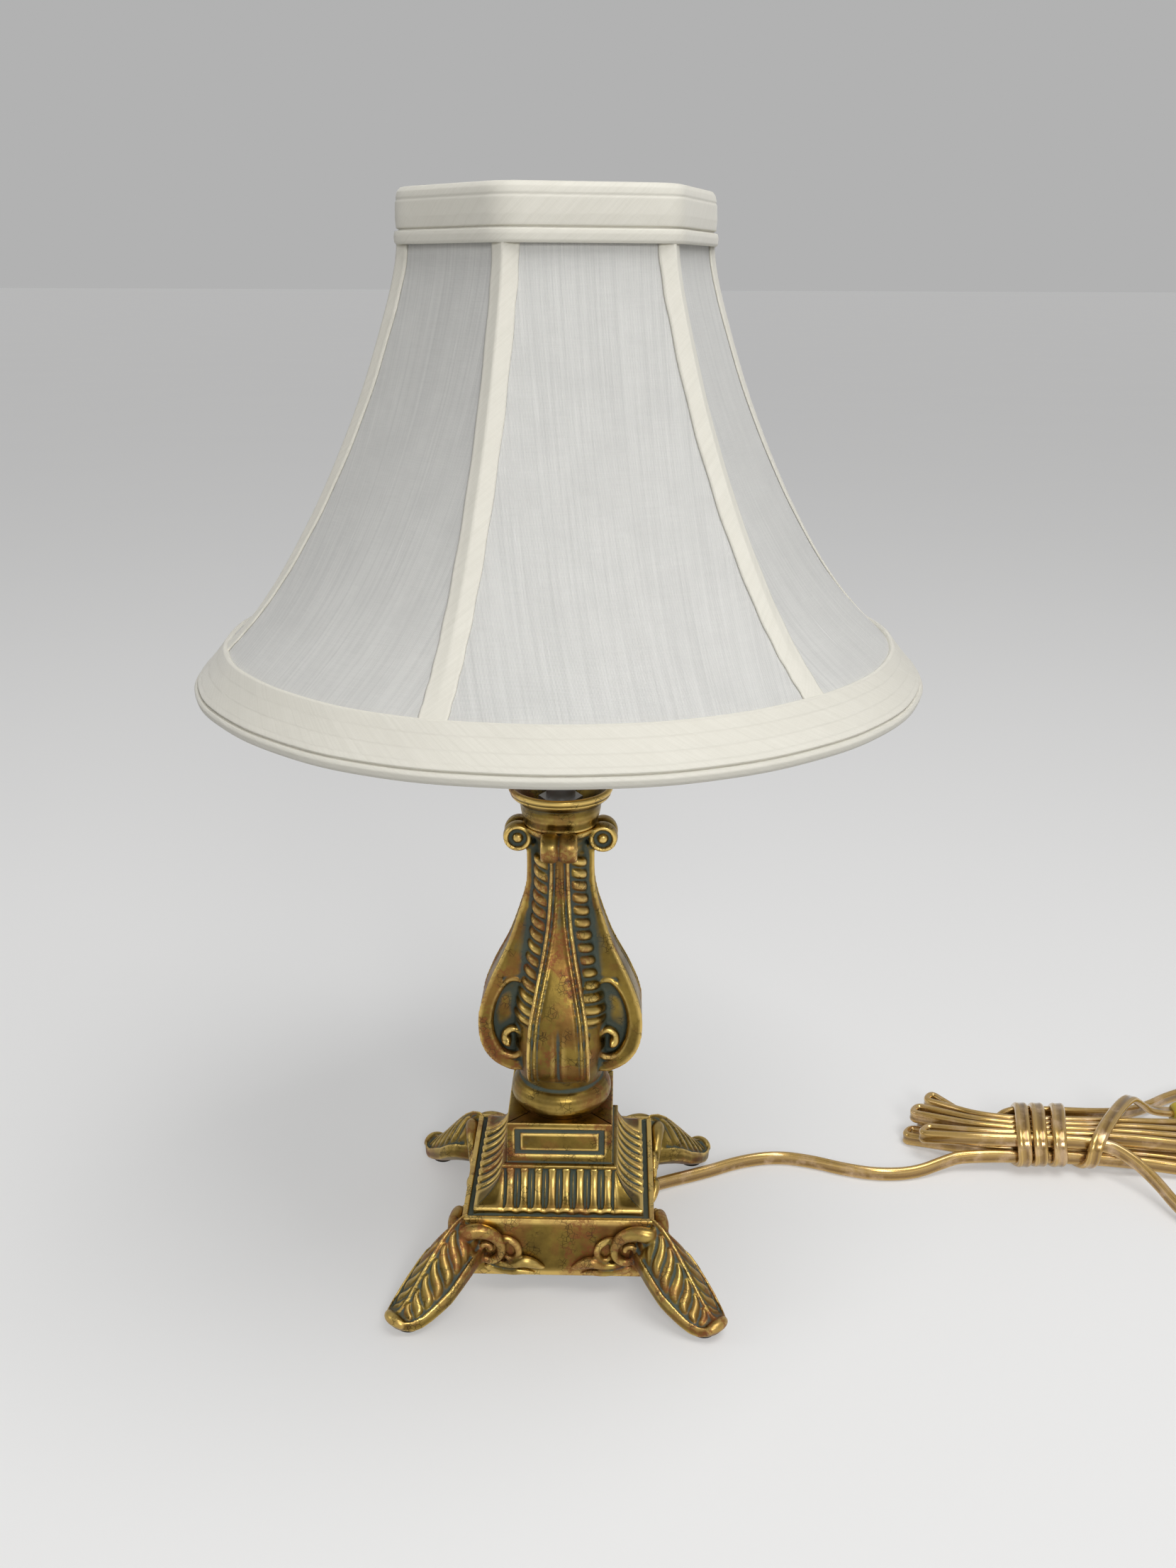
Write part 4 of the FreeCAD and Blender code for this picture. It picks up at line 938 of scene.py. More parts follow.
@dataclass
class LeafFoot:
    """A cast foot: a veined leaf from a corner of the slab, with scrolls on two faces."""

    name: str
    node: str
    quarter: int
    slab: float = 33.0
    lobe_wide: float = 5.0
    lobe_change: float = 0.05
    lobe_slant: float = 8.0
    lobe_start: float = 38.0
    lobe_high: float = 2.5
    dish_deep: float = 1.6
    rim_high: float = 1.3
    crest_high: float = 0.9
    cell: float = 0.42
    wear: Wear = Wear(22, 0.5, 2, 70, 2.2)
    # How far the leaf's edge hangs below its middle, by distance along the diagonal.
    drop: tuple[Row, Row] = ((31.0, 47.0, 60.0, 70.0, 77.5), (12.0, 14.0, 10.5, 4.8, 0.6))
    # Distance along the diagonal, top, bottom and half width of the leaf.
    stations: tuple[Row, ...] = (
        (33.0, 24.0, 12.5, 5.0), (36.0, 27.2, 11.4, 5.2), (39.5, 29.4, 10.6, 5.6),
        (43.0, 30.7, 10.2, 6.4), (47.0, 30.8, 9.8, 8.0), (51.0, 29.2, 8.6, 9.6),
        (55.0, 26.4, 7.2, 10.5), (59.0, 22.6, 5.4, 10.6), (63.0, 18.3, 3.2, 10.0),
        (67.0, 13.9, 1.5, 9.1), (70.5, 10.2, 1.2, 8.0), (73.5, 7.9, 1.2, 6.6),
        (75.8, 7.4, 1.6, 4.9), (77.0, 7.0, 2.6, 3.0), (77.4, 5.6, 3.8, 1.0))
    # On a face of the slab: distance from its middle, height, and radius.
    scroll: tuple[Row, ...] = (
        (37.4, 15.5, 1.8), (36.9, 19.5, 2.3), (35.0, 23.8, 2.7), (31.4, 26.6, 2.9),
        (26.8, 27.3, 2.7), (22.4, 25.6, 2.3), (19.7, 21.8, 1.9), (19.8, 17.6, 1.65),
        (22.4, 15.0, 1.5), (25.6, 15.6, 1.35), (27.0, 18.4, 1.25), (25.6, 20.9, 1.15),
        (23.3, 20.4, 1.1), (23.3, 18.6, 1.2))
    eye: tuple[Row, ...] = (
        (20.2, 23.8, 0.8), (17.2, 23.3, 1.2), (14.4, 21.2, 1.3), (13.5, 18.0, 1.3),
        (15.0, 15.5, 1.1), (17.4, 15.6, 0.9), (18.2, 17.4, 0.6))
    beak: tuple[Row, ...] = (
        (24.0, 14.6, 0.9), (20.0, 13.2, 1.2), (15.9, 13.2, 1.6), (12.0, 14.6, 2.1),
        (8.6, 13.7, 1.8), (5.8, 12.1, 1.0), (4.3, 11.3, 0.3))
    lower_leaf: tuple[Row, ...] = (
        (25.6, 12.4, 1.1), (21.0, 10.9, 1.3), (16.0, 10.2, 1.5), (11.6, 9.9, 1.1), (7.6, 9.1, 0.4))
    # The roll at the toe: distance along, distance across, height and radius.
    toe_roll: tuple[Row, ...] = (
        (75.2, -4.6, 4.6, 1.4), (76.4, -2.4, 5.6, 1.9), (76.8, 0.0, 5.9, 2.1),
        (76.4, 2.4, 5.6, 1.9), (75.2, 4.6, 4.6, 1.4))

    def relief(self, along: np.ndarray, across: np.ndarray) -> np.ndarray:
        """The height of the carving on the leaf.

        Args:
            along: Distance along the diagonal.
            across: Share of the half width, from -1 to 1.

        Returns:
            Heights in millimetres.
        """
        side = np.abs(across)
        rim = self.rim_high * hump(side, 0.93, 0.09)
        crest = self.crest_high * hump(side, 0.0, 0.08)
        curve = 1.1 * np.sin(2 * np.pi * side)
        start = along - self.lobe_start - self.lobe_slant * side - curve
        count = -np.log(np.clip(1 - self.lobe_change * start / self.lobe_wide, 0.1, 2.0))
        lobe = np.abs(np.sin(np.pi * count / self.lobe_change)) ** 0.55
        ends = step_up(side, 0.05, 0.18) * (1 - step_up(side, 0.66, 0.84))
        dish = step_up(side, 0.03, 0.11) * (1 - step_up(side, 0.80, 0.90))
        fade = 1 - step_up(along, 71.5, 75.0)
        return rim + crest + dish * fade * (self.lobe_high * lobe * ends - self.dish_deep)

    def leaf(self, form: Form) -> None:
        """Adds the leaf, with its length along +X and the slab's corner cut out."""
        table = np.array(self.stations)
        level = np.linspace(table[0, 0], table[-1, 0], 140)
        level = np.concatenate([level, [table[-1, 0] + 0.05]])
        top, low, half = (np.interp(level, table[:, 0], table[:, k]) for k in (1, 2, 3))
        across = np.sin(np.linspace(-np.pi / 2, np.pi / 2, 81))
        under = np.linspace(0.98, -0.98, 21)
        drop = np.interp(level, *self.drop)
        rows = []
        for x, high, base, wide, fall in zip(level, top, low, half, drop):
            taper = min(1.0, (table[-1, 0] + 0.4 - x) / 5.0)
            edge = high - fall
            carved = self.relief(np.full(len(across), x), across) * taper
            over = high - fall * np.abs(across) ** 1.3 + carved
            below = base + (max(edge - 2.4, base) - base) * np.abs(under) ** 2.2
            y = np.concatenate([across, under]) * wide
            z = np.concatenate([over, below])
            corner = self.slab * math.sqrt(2) - np.abs(y) - 1.2
            rows.append(np.stack([np.maximum(x, corner), y, z], -1))
        form.grid(np.array(rows), lids=True)

    def on_faces(self, form: Form, rows: tuple[Row, ...], bury: float) -> None:
        """Adds a scroll on the two faces beside the corner.

        Args:
            form: The form.
            rows: Distance from the middle of the face, height and radius.
            bury: The share of the radius by which its middle stands off the face.
        """
        root = math.sqrt(0.5)
        for side in (1, -1):
            path = []
            for x, z, radius in rows:
                past = max(0.0, x - self.slab)
                out = self.slab + radius * bury - past * 1.2
                path.append(((x + out) * root, side * (x - out) * root, z))
            form.tube(np.array(path), [r[2] for r in rows], flat=0.9,
                      face=(root, -side * root, 0.0))

    def build(self) -> bpy.types.Object:
        """Makes the foot and turns it to its corner."""
        form = Form()
        self.leaf(form)
        roll = np.array(self.toe_roll)
        form.tube(roll[:, :3], roll[:, 3])
        for rows, bury in ((self.scroll, 0.85), (self.eye, 0.75), (self.beak, 0.65),
                           (self.lower_leaf, 0.5)):
            self.on_faces(form, rows, bury)
        turn = Matrix.Rotation(math.radians(90 * self.quarter - 45), 4, "Z")
        return finish_piece(form.build(self.name, turn), Finish.CASTING, "lamp",
                            "antique_brass", self.node, cell=self.cell, wear=self.wear)


# ---- Column and cup -----------------------------------------------------------------------


@dataclass
class Column:
    """The column: torus foot, beaded core, four scrolled straps and small rolls."""

    cell: float = 0.43
    wear: Wear = Wear(26, 0.55, 2, 110, 2.0)
    bead: float = 4.35
    bead_low: float = 98.0
    bead_high: float = 156.0
    bead_tall: float = 2.3
    bead_slant: float = 5.0
    bead_half: float = 0.26
    # What fills a strap back to the core: its ends, how far it lies inside the strap's outline
    # and behind its front, and how much further inside at the scroll.
    web_ends: tuple[float, float] = (76.2, 157.0)
    web_inset: float = 0.35
    web_behind: float = 1.8
    web_core: float = 5.6
    recess: float = 4.0
    # Lines along the edges of a strap: height, distance from the edge, and width.
    edge_lines: tuple[Row, ...] = ((0.6, 0.75, 0.5), (-0.9, 1.75, 0.36), (0.35, 2.6, 0.5))
    # The groove inside them and the hollow along the middle, where the strap is wide.
    inner_line: Row = (-0.8, 3.5, 0.36)
    petals: Row = (-1.3, 0.0, 1.0)
    crown: float = 0.5
    bore: float = 5.2
    # Radius and height of the outline under the core, and over it.
    foot: tuple[Row, ...] = (
        (5.2, 59.35), (15.7, 59.35), (15.7, 60.2), (16.4, 60.7), (17.2, 61.9), (17.6, 63.6),
        (17.5, 65.4), (16.9, 67.1), (15.8, 68.6), (14.7, 69.4), (14.3, 70.0))
    neck: tuple[Row, ...] = (
        (8.6, 158.6), (9.6, 160.2), (11.3, 161.4), (12.2, 162.4), (12.3, 163.7), (5.2, 163.8))
    # The outer line of a strap: reach, height and half width.
    strap: tuple[Row, ...] = (
        (12.4, 158.5, 3.2), (11.0, 155.0, 3.3), (10.8, 150.0, 3.35), (11.1, 143.2, 3.6),
        (12.2, 137.7, 3.9), (14.0, 131.7, 4.4), (16.4, 124.5, 5.5), (18.2, 120.1, 6.3),
        (20.3, 115.7, 7.2), (22.5, 111.2, 8.1), (24.6, 106.2, 9.1), (26.1, 102.2, 9.8),
        (27.3, 97.7, 10.2), (27.7, 92.7, 10.5), (27.2, 87.7, 10.6), (25.9, 83.7, 10.6),
        (24.0, 80.7, 10.6), (21.6, 78.3, 10.4), (19.0, 76.6, 10.0), (16.5, 75.4, 9.6),
        (13.6, 75.2, 9.2))
    # Height and radius.
    core: tuple[Row, ...] = (
        (70.4, 14.6), (76.0, 16.0), (84.0, 17.2), (93.0, 17.0), (104.0, 15.0), (115.0, 12.5),
        (128.0, 10.2), (143.0, 8.6), (158.0, 8.4))
    # On a side of a scroll: reach, height and radius.
    spiral: tuple[Row, ...] = (
        (8.5, 99.7, 1.0), (10.0, 104.7, 1.2), (13.2, 108.5, 1.3), (17.0, 109.1, 1.35),
        (20.6, 105.9, 1.4), (23.2, 100.3, 1.4), (24.2, 93.7, 1.4), (23.2, 87.1, 1.4),
        (20.2, 82.0, 1.4), (15.8, 80.6, 1.4), (12.4, 83.6, 1.3), (12.8, 88.4, 1.3),
        (15.9, 91.0, 1.3), (18.6, 89.4, 1.5), (18.5, 86.6, 2.0), (16.9, 86.4, 2.4))
    # Half of a roll: radius and distance from its middle.
    roll: tuple[Row, ...] = (
        (3.9, 0.0), (4.5, 0.7), (4.95, 1.6), (5.0, 3.4), (4.75, 5.2), (4.2, 6.0), (3.3, 6.0),
        (2.9, 4.9), (2.0, 4.7), (1.6, 5.6), (1.0, 6.1), (0.01, 6.2))
    roll_at: tuple[float, float] = (14.1, 160.0)

    def strap_face(self, share: np.ndarray, width: float) -> np.ndarray:
        """The height of a strap's front across its width.

        Args:
            share: Share of the half width, from -1 to 1.
            width: The half width.

        Returns:
            Heights in millimetres.
        """
        side = np.abs(share) * width
        rim = width - side
        lines = sum(high * hump(rim, at, half) for high, at, half in self.edge_lines)
        wide = min(1.0, max(0.0, (width - 6.0) / 4.0))
        widest = min(1.0, max(0.0, (width - 9.8) / 0.8))
        groove = self.inner_line[0] * wide * hump(rim, *self.inner_line[1:])
        petals = self.petals[0] * wide * hump(side, *self.petals[1:]) * widest
        crown = self.crown * wide * np.cos(np.clip(share, -1, 1) * np.pi / 2)
        return lines + groove + petals + crown

    def add_strap(self, form: Form) -> None:
        """Adds the band of one strap, in the plane of +X and up."""
        table = np.array(self.strap)
        line, half = smooth_line(np.column_stack([table[:, 0], table[:, 0] * 0, table[:, 1]]),
                                 table[:, 2], 5)
        ahead = headings(line)
        out = np.stack([-ahead[:, 2], ahead[:, 1] * 0, ahead[:, 0]], -1)
        share = np.sin(np.linspace(-np.pi / 2, np.pi / 2, 57))
        rows = []
        for here, away, width in zip(line, out, half):
            thick = min(3.2, 1.6 + width * 0.2)
            front = self.strap_face(share, width)
            y = np.concatenate([share * width, [width - 0.2, 0.0, 0.2 - width]])
            lift = np.concatenate([front, [-thick] * 3])
            rows.append(np.stack([here[0] + away[0] * lift, y, here[2] + away[2] * lift], -1))
        form.grid(np.array(rows), lids=True)

    def add_web(self, form: Form) -> None:
        """Adds what fills a strap back to the core, recessed at the scroll."""
        table = np.array(self.strap)[::-1]
        levels = np.linspace(*self.web_ends, 90)
        reach = np.interp(levels, table[1:, 1], table[1:, 0])
        half = np.interp(levels, table[1:, 1], table[1:, 2])
        inset = self.recess * (1 - step_up(levels, 103.0, 112.0)) + self.web_inset
        core = self.web_core
        rows = [[(core, -w, z), (r, -w, z), (r, w, z), (core, w, z)]
                for z, r, w in zip(levels, reach - self.web_behind, half - inset)]
        form.grid(np.array(rows, float), lids=True)

    def add_spirals(self, form: Form) -> None:
        """Adds the spiral ridge and the eye on both sides of a scroll."""
        table = np.array(self.strap)[::-1]
        for side in (1, -1):
            path, radii = [], []
            for reach, height, radius in self.spiral:
                width = np.interp(height, table[1:, 1], table[1:, 2])
                path.append((reach, side * (width - 2.1), height))
                radii.append(radius)
            form.tube(np.array(path), radii, face=(0.0, 1.0, 0.0), flat=1.3)

    def add_roll(self, form: Form) -> None:
        """Adds the small roll at the top of a strap, in two lobes with sunk ends."""
        whole = [(r, -y) for r, y in self.roll[:0:-1]] + list(self.roll)
        angle = np.linspace(0, 2 * np.pi, 40, endpoint=False)
        out, up = self.roll_at
        rows = [[(out + r * math.cos(a), y, up + r * math.sin(a)) for a in angle]
                for r, y in whole]
        form.grid(np.array(rows), lids=True)

    def beads(self, radius: np.ndarray, height: np.ndarray, turn: np.ndarray) -> np.ndarray:
        """The core's radii with slanting beads between the straps; the bore stays plain."""
        diagonal = (turn / (np.pi / 2)) % 1.0 - 0.5
        slant = height + diagonal * self.bead_slant
        bead = np.abs(np.sin(np.pi * (slant - self.bead_low) / self.bead)) ** 0.6
        within = step_up(height, self.bead_low - 6, self.bead_low) * (
            1 - step_up(height, self.bead_high - 3, self.bead_high))
        across = hump(diagonal, 0.0, self.bead_half)
        beaded = radius + within * (self.bead_tall * bead * across + 0.2)
        return np.where((radius > 6.0) & (height > 72.0), beaded, radius)

    def build(self) -> bpy.types.Object:
        """Makes the column."""
        core = np.array(self.core)
        levels = np.linspace(core[0, 0], core[-1, 0], 210)
        radii = np.interp(levels, core[:, 0], core[:, 1])
        inner = [(self.bore, z) for z in np.linspace(162.0, 61.0, 30)]
        form = Form()
        form.turned([*self.foot, *zip(radii, levels), *self.neck, *inner], sides=240,
                    reach=self.beads)
        part = Form()
        for add in (self.add_strap, self.add_web, self.add_spirals, self.add_roll):
            add(part)
        for quarter in range(4):
            form.add(part, np.array(Matrix.Rotation(math.radians(90 * quarter), 3, "Z")))
        return finish_piece(form.build("scrolled_column"), Finish.CASTING, "lamp",
                            "antique_brass", "column_casting", cell=self.cell, wear=self.wear)


@dataclass
class CandleCup:
    """The flared cup on the column, with a rolled lip round a dark dish."""

    outline: tuple[Row, ...] = (
        (5.2, 163.9), (11.9, 163.9), (12.5, 164.5), (12.3, 165.3), (12.5, 166.3), (13.0, 167.6),
        (13.3, 169.2), (13.5, 170.9), (14.0, 172.0), (15.1, 172.9), (16.1, 173.7), (16.7, 174.5),
        (16.55, 174.9), (16.9, 175.3), (17.3, 176.1), (17.1, 176.8), (16.4, 177.2), (15.6, 177.0),
        (15.0, 176.4), (14.2, 175.9), (13.0, 174.6), (11.8, 172.9), (10.6, 170.8), (9.4, 168.6),
        (5.2, 167.7))
    wear: Wear = Wear(18, 0.22)

    def build(self) -> bpy.types.Object:
        """Makes the cup."""
        form = Form()
        form.turned(softened(self.outline, 0.22, 0.5), sides=180)
        return finish_piece(form.build("flared_cup"), Finish.CASTING, "lamp", "antique_brass",
                            "candle_cup", wear=self.wear)


# ---- Shade ------------------------------------------------------------------------------


@dataclass
class Shade:
    """The bell shade: six silk panels, tapes over their seams, a band and a hem."""

    yaw: float = -76.0
    # Height, reach of a corner, and how round the section is there.
    bell: tuple[Row, ...] = (
        (220.2, 109.6, 1.0), (228.0, 103.2, 1.0), (234.0, 97.6, 0.9), (242.0, 91.0, 0.72),
        (255.0, 82.2, 0.5), (275.0, 71.0, 0.3), (300.0, 59.6, 0.16), (325.0, 50.8, 0.08),
        (340.0, 46.9, 0.06), (352.5, 46.2, 0.05))
    thick: float = 0.9
    panel_half: float = 29.85
    sag: float = 0.35
    tape_half: float = 4.0
    tape_lift: float = 0.75
    band_corner: float = 49.6
    band_round: float = 6.5
    rim: float = 113.8
    panel_cut: tuple[float, float] = (0.116, 0.154)
    panel_area: float = 0.0109
    # How far the surface coordinates of neighbouring panels and tapes lie apart.
    panel_step: float = 1.7
    tape_step: float = 0.7
    # The band's section: distance out of its corner, and height.
    band_section: tuple[Row, ...] = (
        (-1.9, 344.2), (-0.5, 343.8), (0.05, 344.5), (0.15, 346.2), (-0.1, 347.4), (-1.2, 347.7),
        (-1.3, 348.0), (-0.55, 348.2), (-0.35, 351.0), (-0.5, 355.2), (-0.85, 355.7),
        (-0.7, 356.3), (-1.0, 357.8), (-1.9, 359.0), (-3.0, 359.2), (-3.9, 358.4), (-4.0, 350.0),
        (-2.6, 349.6), (-2.2, 346.0))
    # The hem's section: distance out of the rim, and height.
    hem_section: tuple[Row, ...] = (
        (-11.2, 228.3), (-10.4, 229.2), (-9.4, 228.9), (-7.3, 226.1), (-4.7, 222.9), (-2.3, 220.2),
        (-1.0, 218.9), (-1.6, 218.3), (-1.7, 218.1), (-0.5, 218.1), (0.05, 217.2), (-0.3, 215.8),
        (-1.4, 214.8), (-2.9, 214.9), (-4.0, 216.2), (-4.2, 218.4), (-5.9, 221.2), (-9.0, 225.2))
    hem_sides: int = 360
    # The last step of the surface coordinates round the band.
    band_closing: float = 4.0

    def bell_line(self) -> np.ndarray:
        """The bell's corner line as close rows of height, reach and roundness."""
        table = np.array(self.bell)
        line, round_share = smooth_line(
            np.column_stack([table[:, 1], table[:, 0] * 0, table[:, 0]]), table[:, 2], 9)
        return np.column_stack([line[:, 2], line[:, 0], round_share])

    def reach(self, corner: float, round_share: float, angle: np.ndarray) -> np.ndarray:
        """The reach of the cloth at angles from a panel's middle, in degrees."""
        flat = math.cos(math.radians(30)) / np.cos(np.radians(angle))
        return corner * (flat * (1 - round_share) + round_share)

    def at(self, reach: np.ndarray, angle: np.ndarray, height: object) -> np.ndarray:
        """Points at an angle round the shade, counted from the first panel's middle."""
        turn = np.radians(self.yaw + angle)
        return np.stack([reach * np.cos(turn), reach * np.sin(turn),
                         np.broadcast_to(height, np.shape(reach))], -1)

    def panel(self, number: int) -> bpy.types.Object:
        """Makes one silk panel with its backing."""
        line = self.bell_line()
        angle = np.linspace(-self.panel_half, self.panel_half, 41)
        sides = []
        for inset in (0.0, self.thick):
            rows = []
            for height, corner, round_share in line:
                reach = self.reach(corner, round_share, angle) - inset
                sag = self.sag * np.cos(np.radians(angle * 3)) * math.sin(
                    math.pi * min(1.0, max(0.0, (height - 225) / 120)))
                rows.append(self.at(reach - sag, angle + 60 * number, height))
            sides.append(np.array(rows))
        whole = np.concatenate([sides[0], sides[1][:, ::-1]], axis=1)
        length = travelled(line[:, :2]) / DECIMETRE
        form = Form()
        form.grid(whole, lids=True,
                  marks=(np.zeros(whole.shape[1] + 1), np.append(length, length[-1])))
        made = form.build(f"silk_panel_{number + 1}")
        self.lay_ribs(made.data, number)
        return finish_piece(made, Finish.SILK, "shade", "shade_silk",
                            f"shade_panel_{number + 1}")

    def lay_ribs(self, mesh: bpy.types.Mesh, number: int) -> None:
        """Places the ribs of a panel's cloth by width, so that they run straight up it."""
        layer = mesh.uv_layers["surface"].data
        spots = np.empty(len(layer) * 2, np.float32)
        layer.foreach_get("uv", spots)
        points = np.empty(len(mesh.vertices) * 3)
        mesh.vertices.foreach_get("co", points)
        index = np.empty(len(mesh.loops), np.int32)
        mesh.loops.foreach_get("vertex_index", index)
        turn = math.radians(self.yaw + 60 * number)
        across = np.array([-math.sin(turn), math.cos(turn), 0.0])
        wide = (points.reshape(-1, 3) @ across)[index] / (DECIMETRE * MM)
        spots = spots.reshape(-1, 2)
        spots[:, 0] = wide + self.panel_step * number
        layer.foreach_set("uv", spots.ravel())

    def tapes(self) -> bpy.types.Object:
        """Makes the six folded tapes over the seams."""
        line = self.bell_line()
        line = line[(line[:, 0] > 226.5) & (line[:, 0] < 345.5)]
        share = np.linspace(-1, 1, 15)
        width = np.concatenate([share, share[::-1], share[:1]]) * self.tape_half / DECIMETRE
        length = travelled(line[:, :2]) / DECIMETRE
        form = Form()
        for seam in range(6):
            rows = []
            for step, (height, corner, round_share) in enumerate(line):
                wander = 0.12 * math.sin(step * 0.9 + seam * 2.1)
                angle = share * math.degrees((self.tape_half + wander) / corner)
                under = self.reach(corner, round_share, 30 - np.abs(angle))
                lift = (self.tape_lift + 0.30 * (1 - share ** 2)
                        + 0.22 * hump(np.abs(share), 0.88, 0.10))
                soft = under - (under.max() - under) * 0.1
                outer = self.at(soft + lift, 60 * seam + 30 + angle, height)
                inner = self.at(under + 0.08, 60 * seam + 30 + angle, height)
                rows.append(np.concatenate([outer, inner[::-1]]))
            form.grid(np.array(rows), lids=True, marks=(
                width + seam * self.tape_step, np.append(length, length[-1])))
        return finish_piece(form.build("seam_tapes"), Finish.TAPE, "shade", "shade_trim",
                            "shade_rib_tapes")

    def hexagon(self, reach: float, rounding: float) -> np.ndarray:
        """A hexagon with rounded corners, as close points."""
        corners = [np.array([reach * math.cos(math.radians(self.yaw + 60 * k + 30)),
                             reach * math.sin(math.radians(self.yaw + 60 * k + 30))])
                   for k in range(6)]
        points = []
        for before, here, after in zip(corners[-1:] + corners[:-1], corners,
                                       corners[1:] + corners[:1]):
            back = (before - here) / np.linalg.norm(before - here)
            ahead = (after - here) / np.linalg.norm(after - here)
            first, last = here + back * rounding, here + ahead * rounding
            for t in np.linspace(0, 1, 7):
                points.append((1 - t) ** 2 * first + 2 * t * (1 - t) * here + t ** 2 * last)
            end = after - ahead * rounding
            points += [last + (end - last) * t for t in np.linspace(0, 1, 12)[1:-1]]
        return np.array(points)

    def band(self) -> bpy.types.Object:
        """Makes the folded band round the top, with a welt along its lower edge."""
        section = softened(self.band_section, 0.25, 0.6)
        rows = []
        for out, height in section:
            ring = self.hexagon(self.band_corner + out * 1.08, self.band_round)
            rows.append(np.column_stack([ring, np.full(len(ring), height)]))
        along = travelled(self.hexagon(self.band_corner, self.band_round))
        along = np.append(along, along[-1] + self.band_closing) / DECIMETRE
        form = Form()
        form.grid(np.array(rows), loop=True, marks=(along, np.arange(len(section) + 1) * 0.006))
        return finish_piece(form.build("top_band"), Finish.TAPE, "shade", "shade_trim",
                            "shade_top_band")

    def hem(self) -> bpy.types.Object:
        """Makes the sloping hem and its rolled edge."""
        rim, sides = self.rim, self.hem_sides
        section = softened([(rim + out, height) for out, height in self.hem_section], 0.25, 0.7)
        turn = np.linspace(0, 2 * np.pi, sides, endpoint=False)
        wave = 0.12 * np.sin(turn * 9 + 1) + 0.08 * np.sin(turn * 23)
        sway = 0.1 * np.sin(turn * 7)
        rows = [np.stack([(reach + wave) * np.cos(turn), (reach + wave) * np.sin(turn),
                          height + sway], -1) for reach, height in section]
        form = Form()
        form.grid(np.array(rows), loop=True, marks=(
            np.arange(sides + 1) * (2 * math.pi * rim / sides / DECIMETRE),
            np.arange(len(section) + 1) * 0.009))
        return finish_piece(form.build("bottom_hem"), Finish.TAPE, "shade", "shade_trim",
                            "shade_bottom_hem")

    def build(self) -> list[bpy.types.Object]:
        """Makes the shade."""
        panels = [self.panel(number) for number in range(6)]
        tapes, band, hem = self.tapes(), self.band(), self.hem()
        return panels + [tapes, band, hem]


# ---- Cord -------------------------------------------------------------------------------


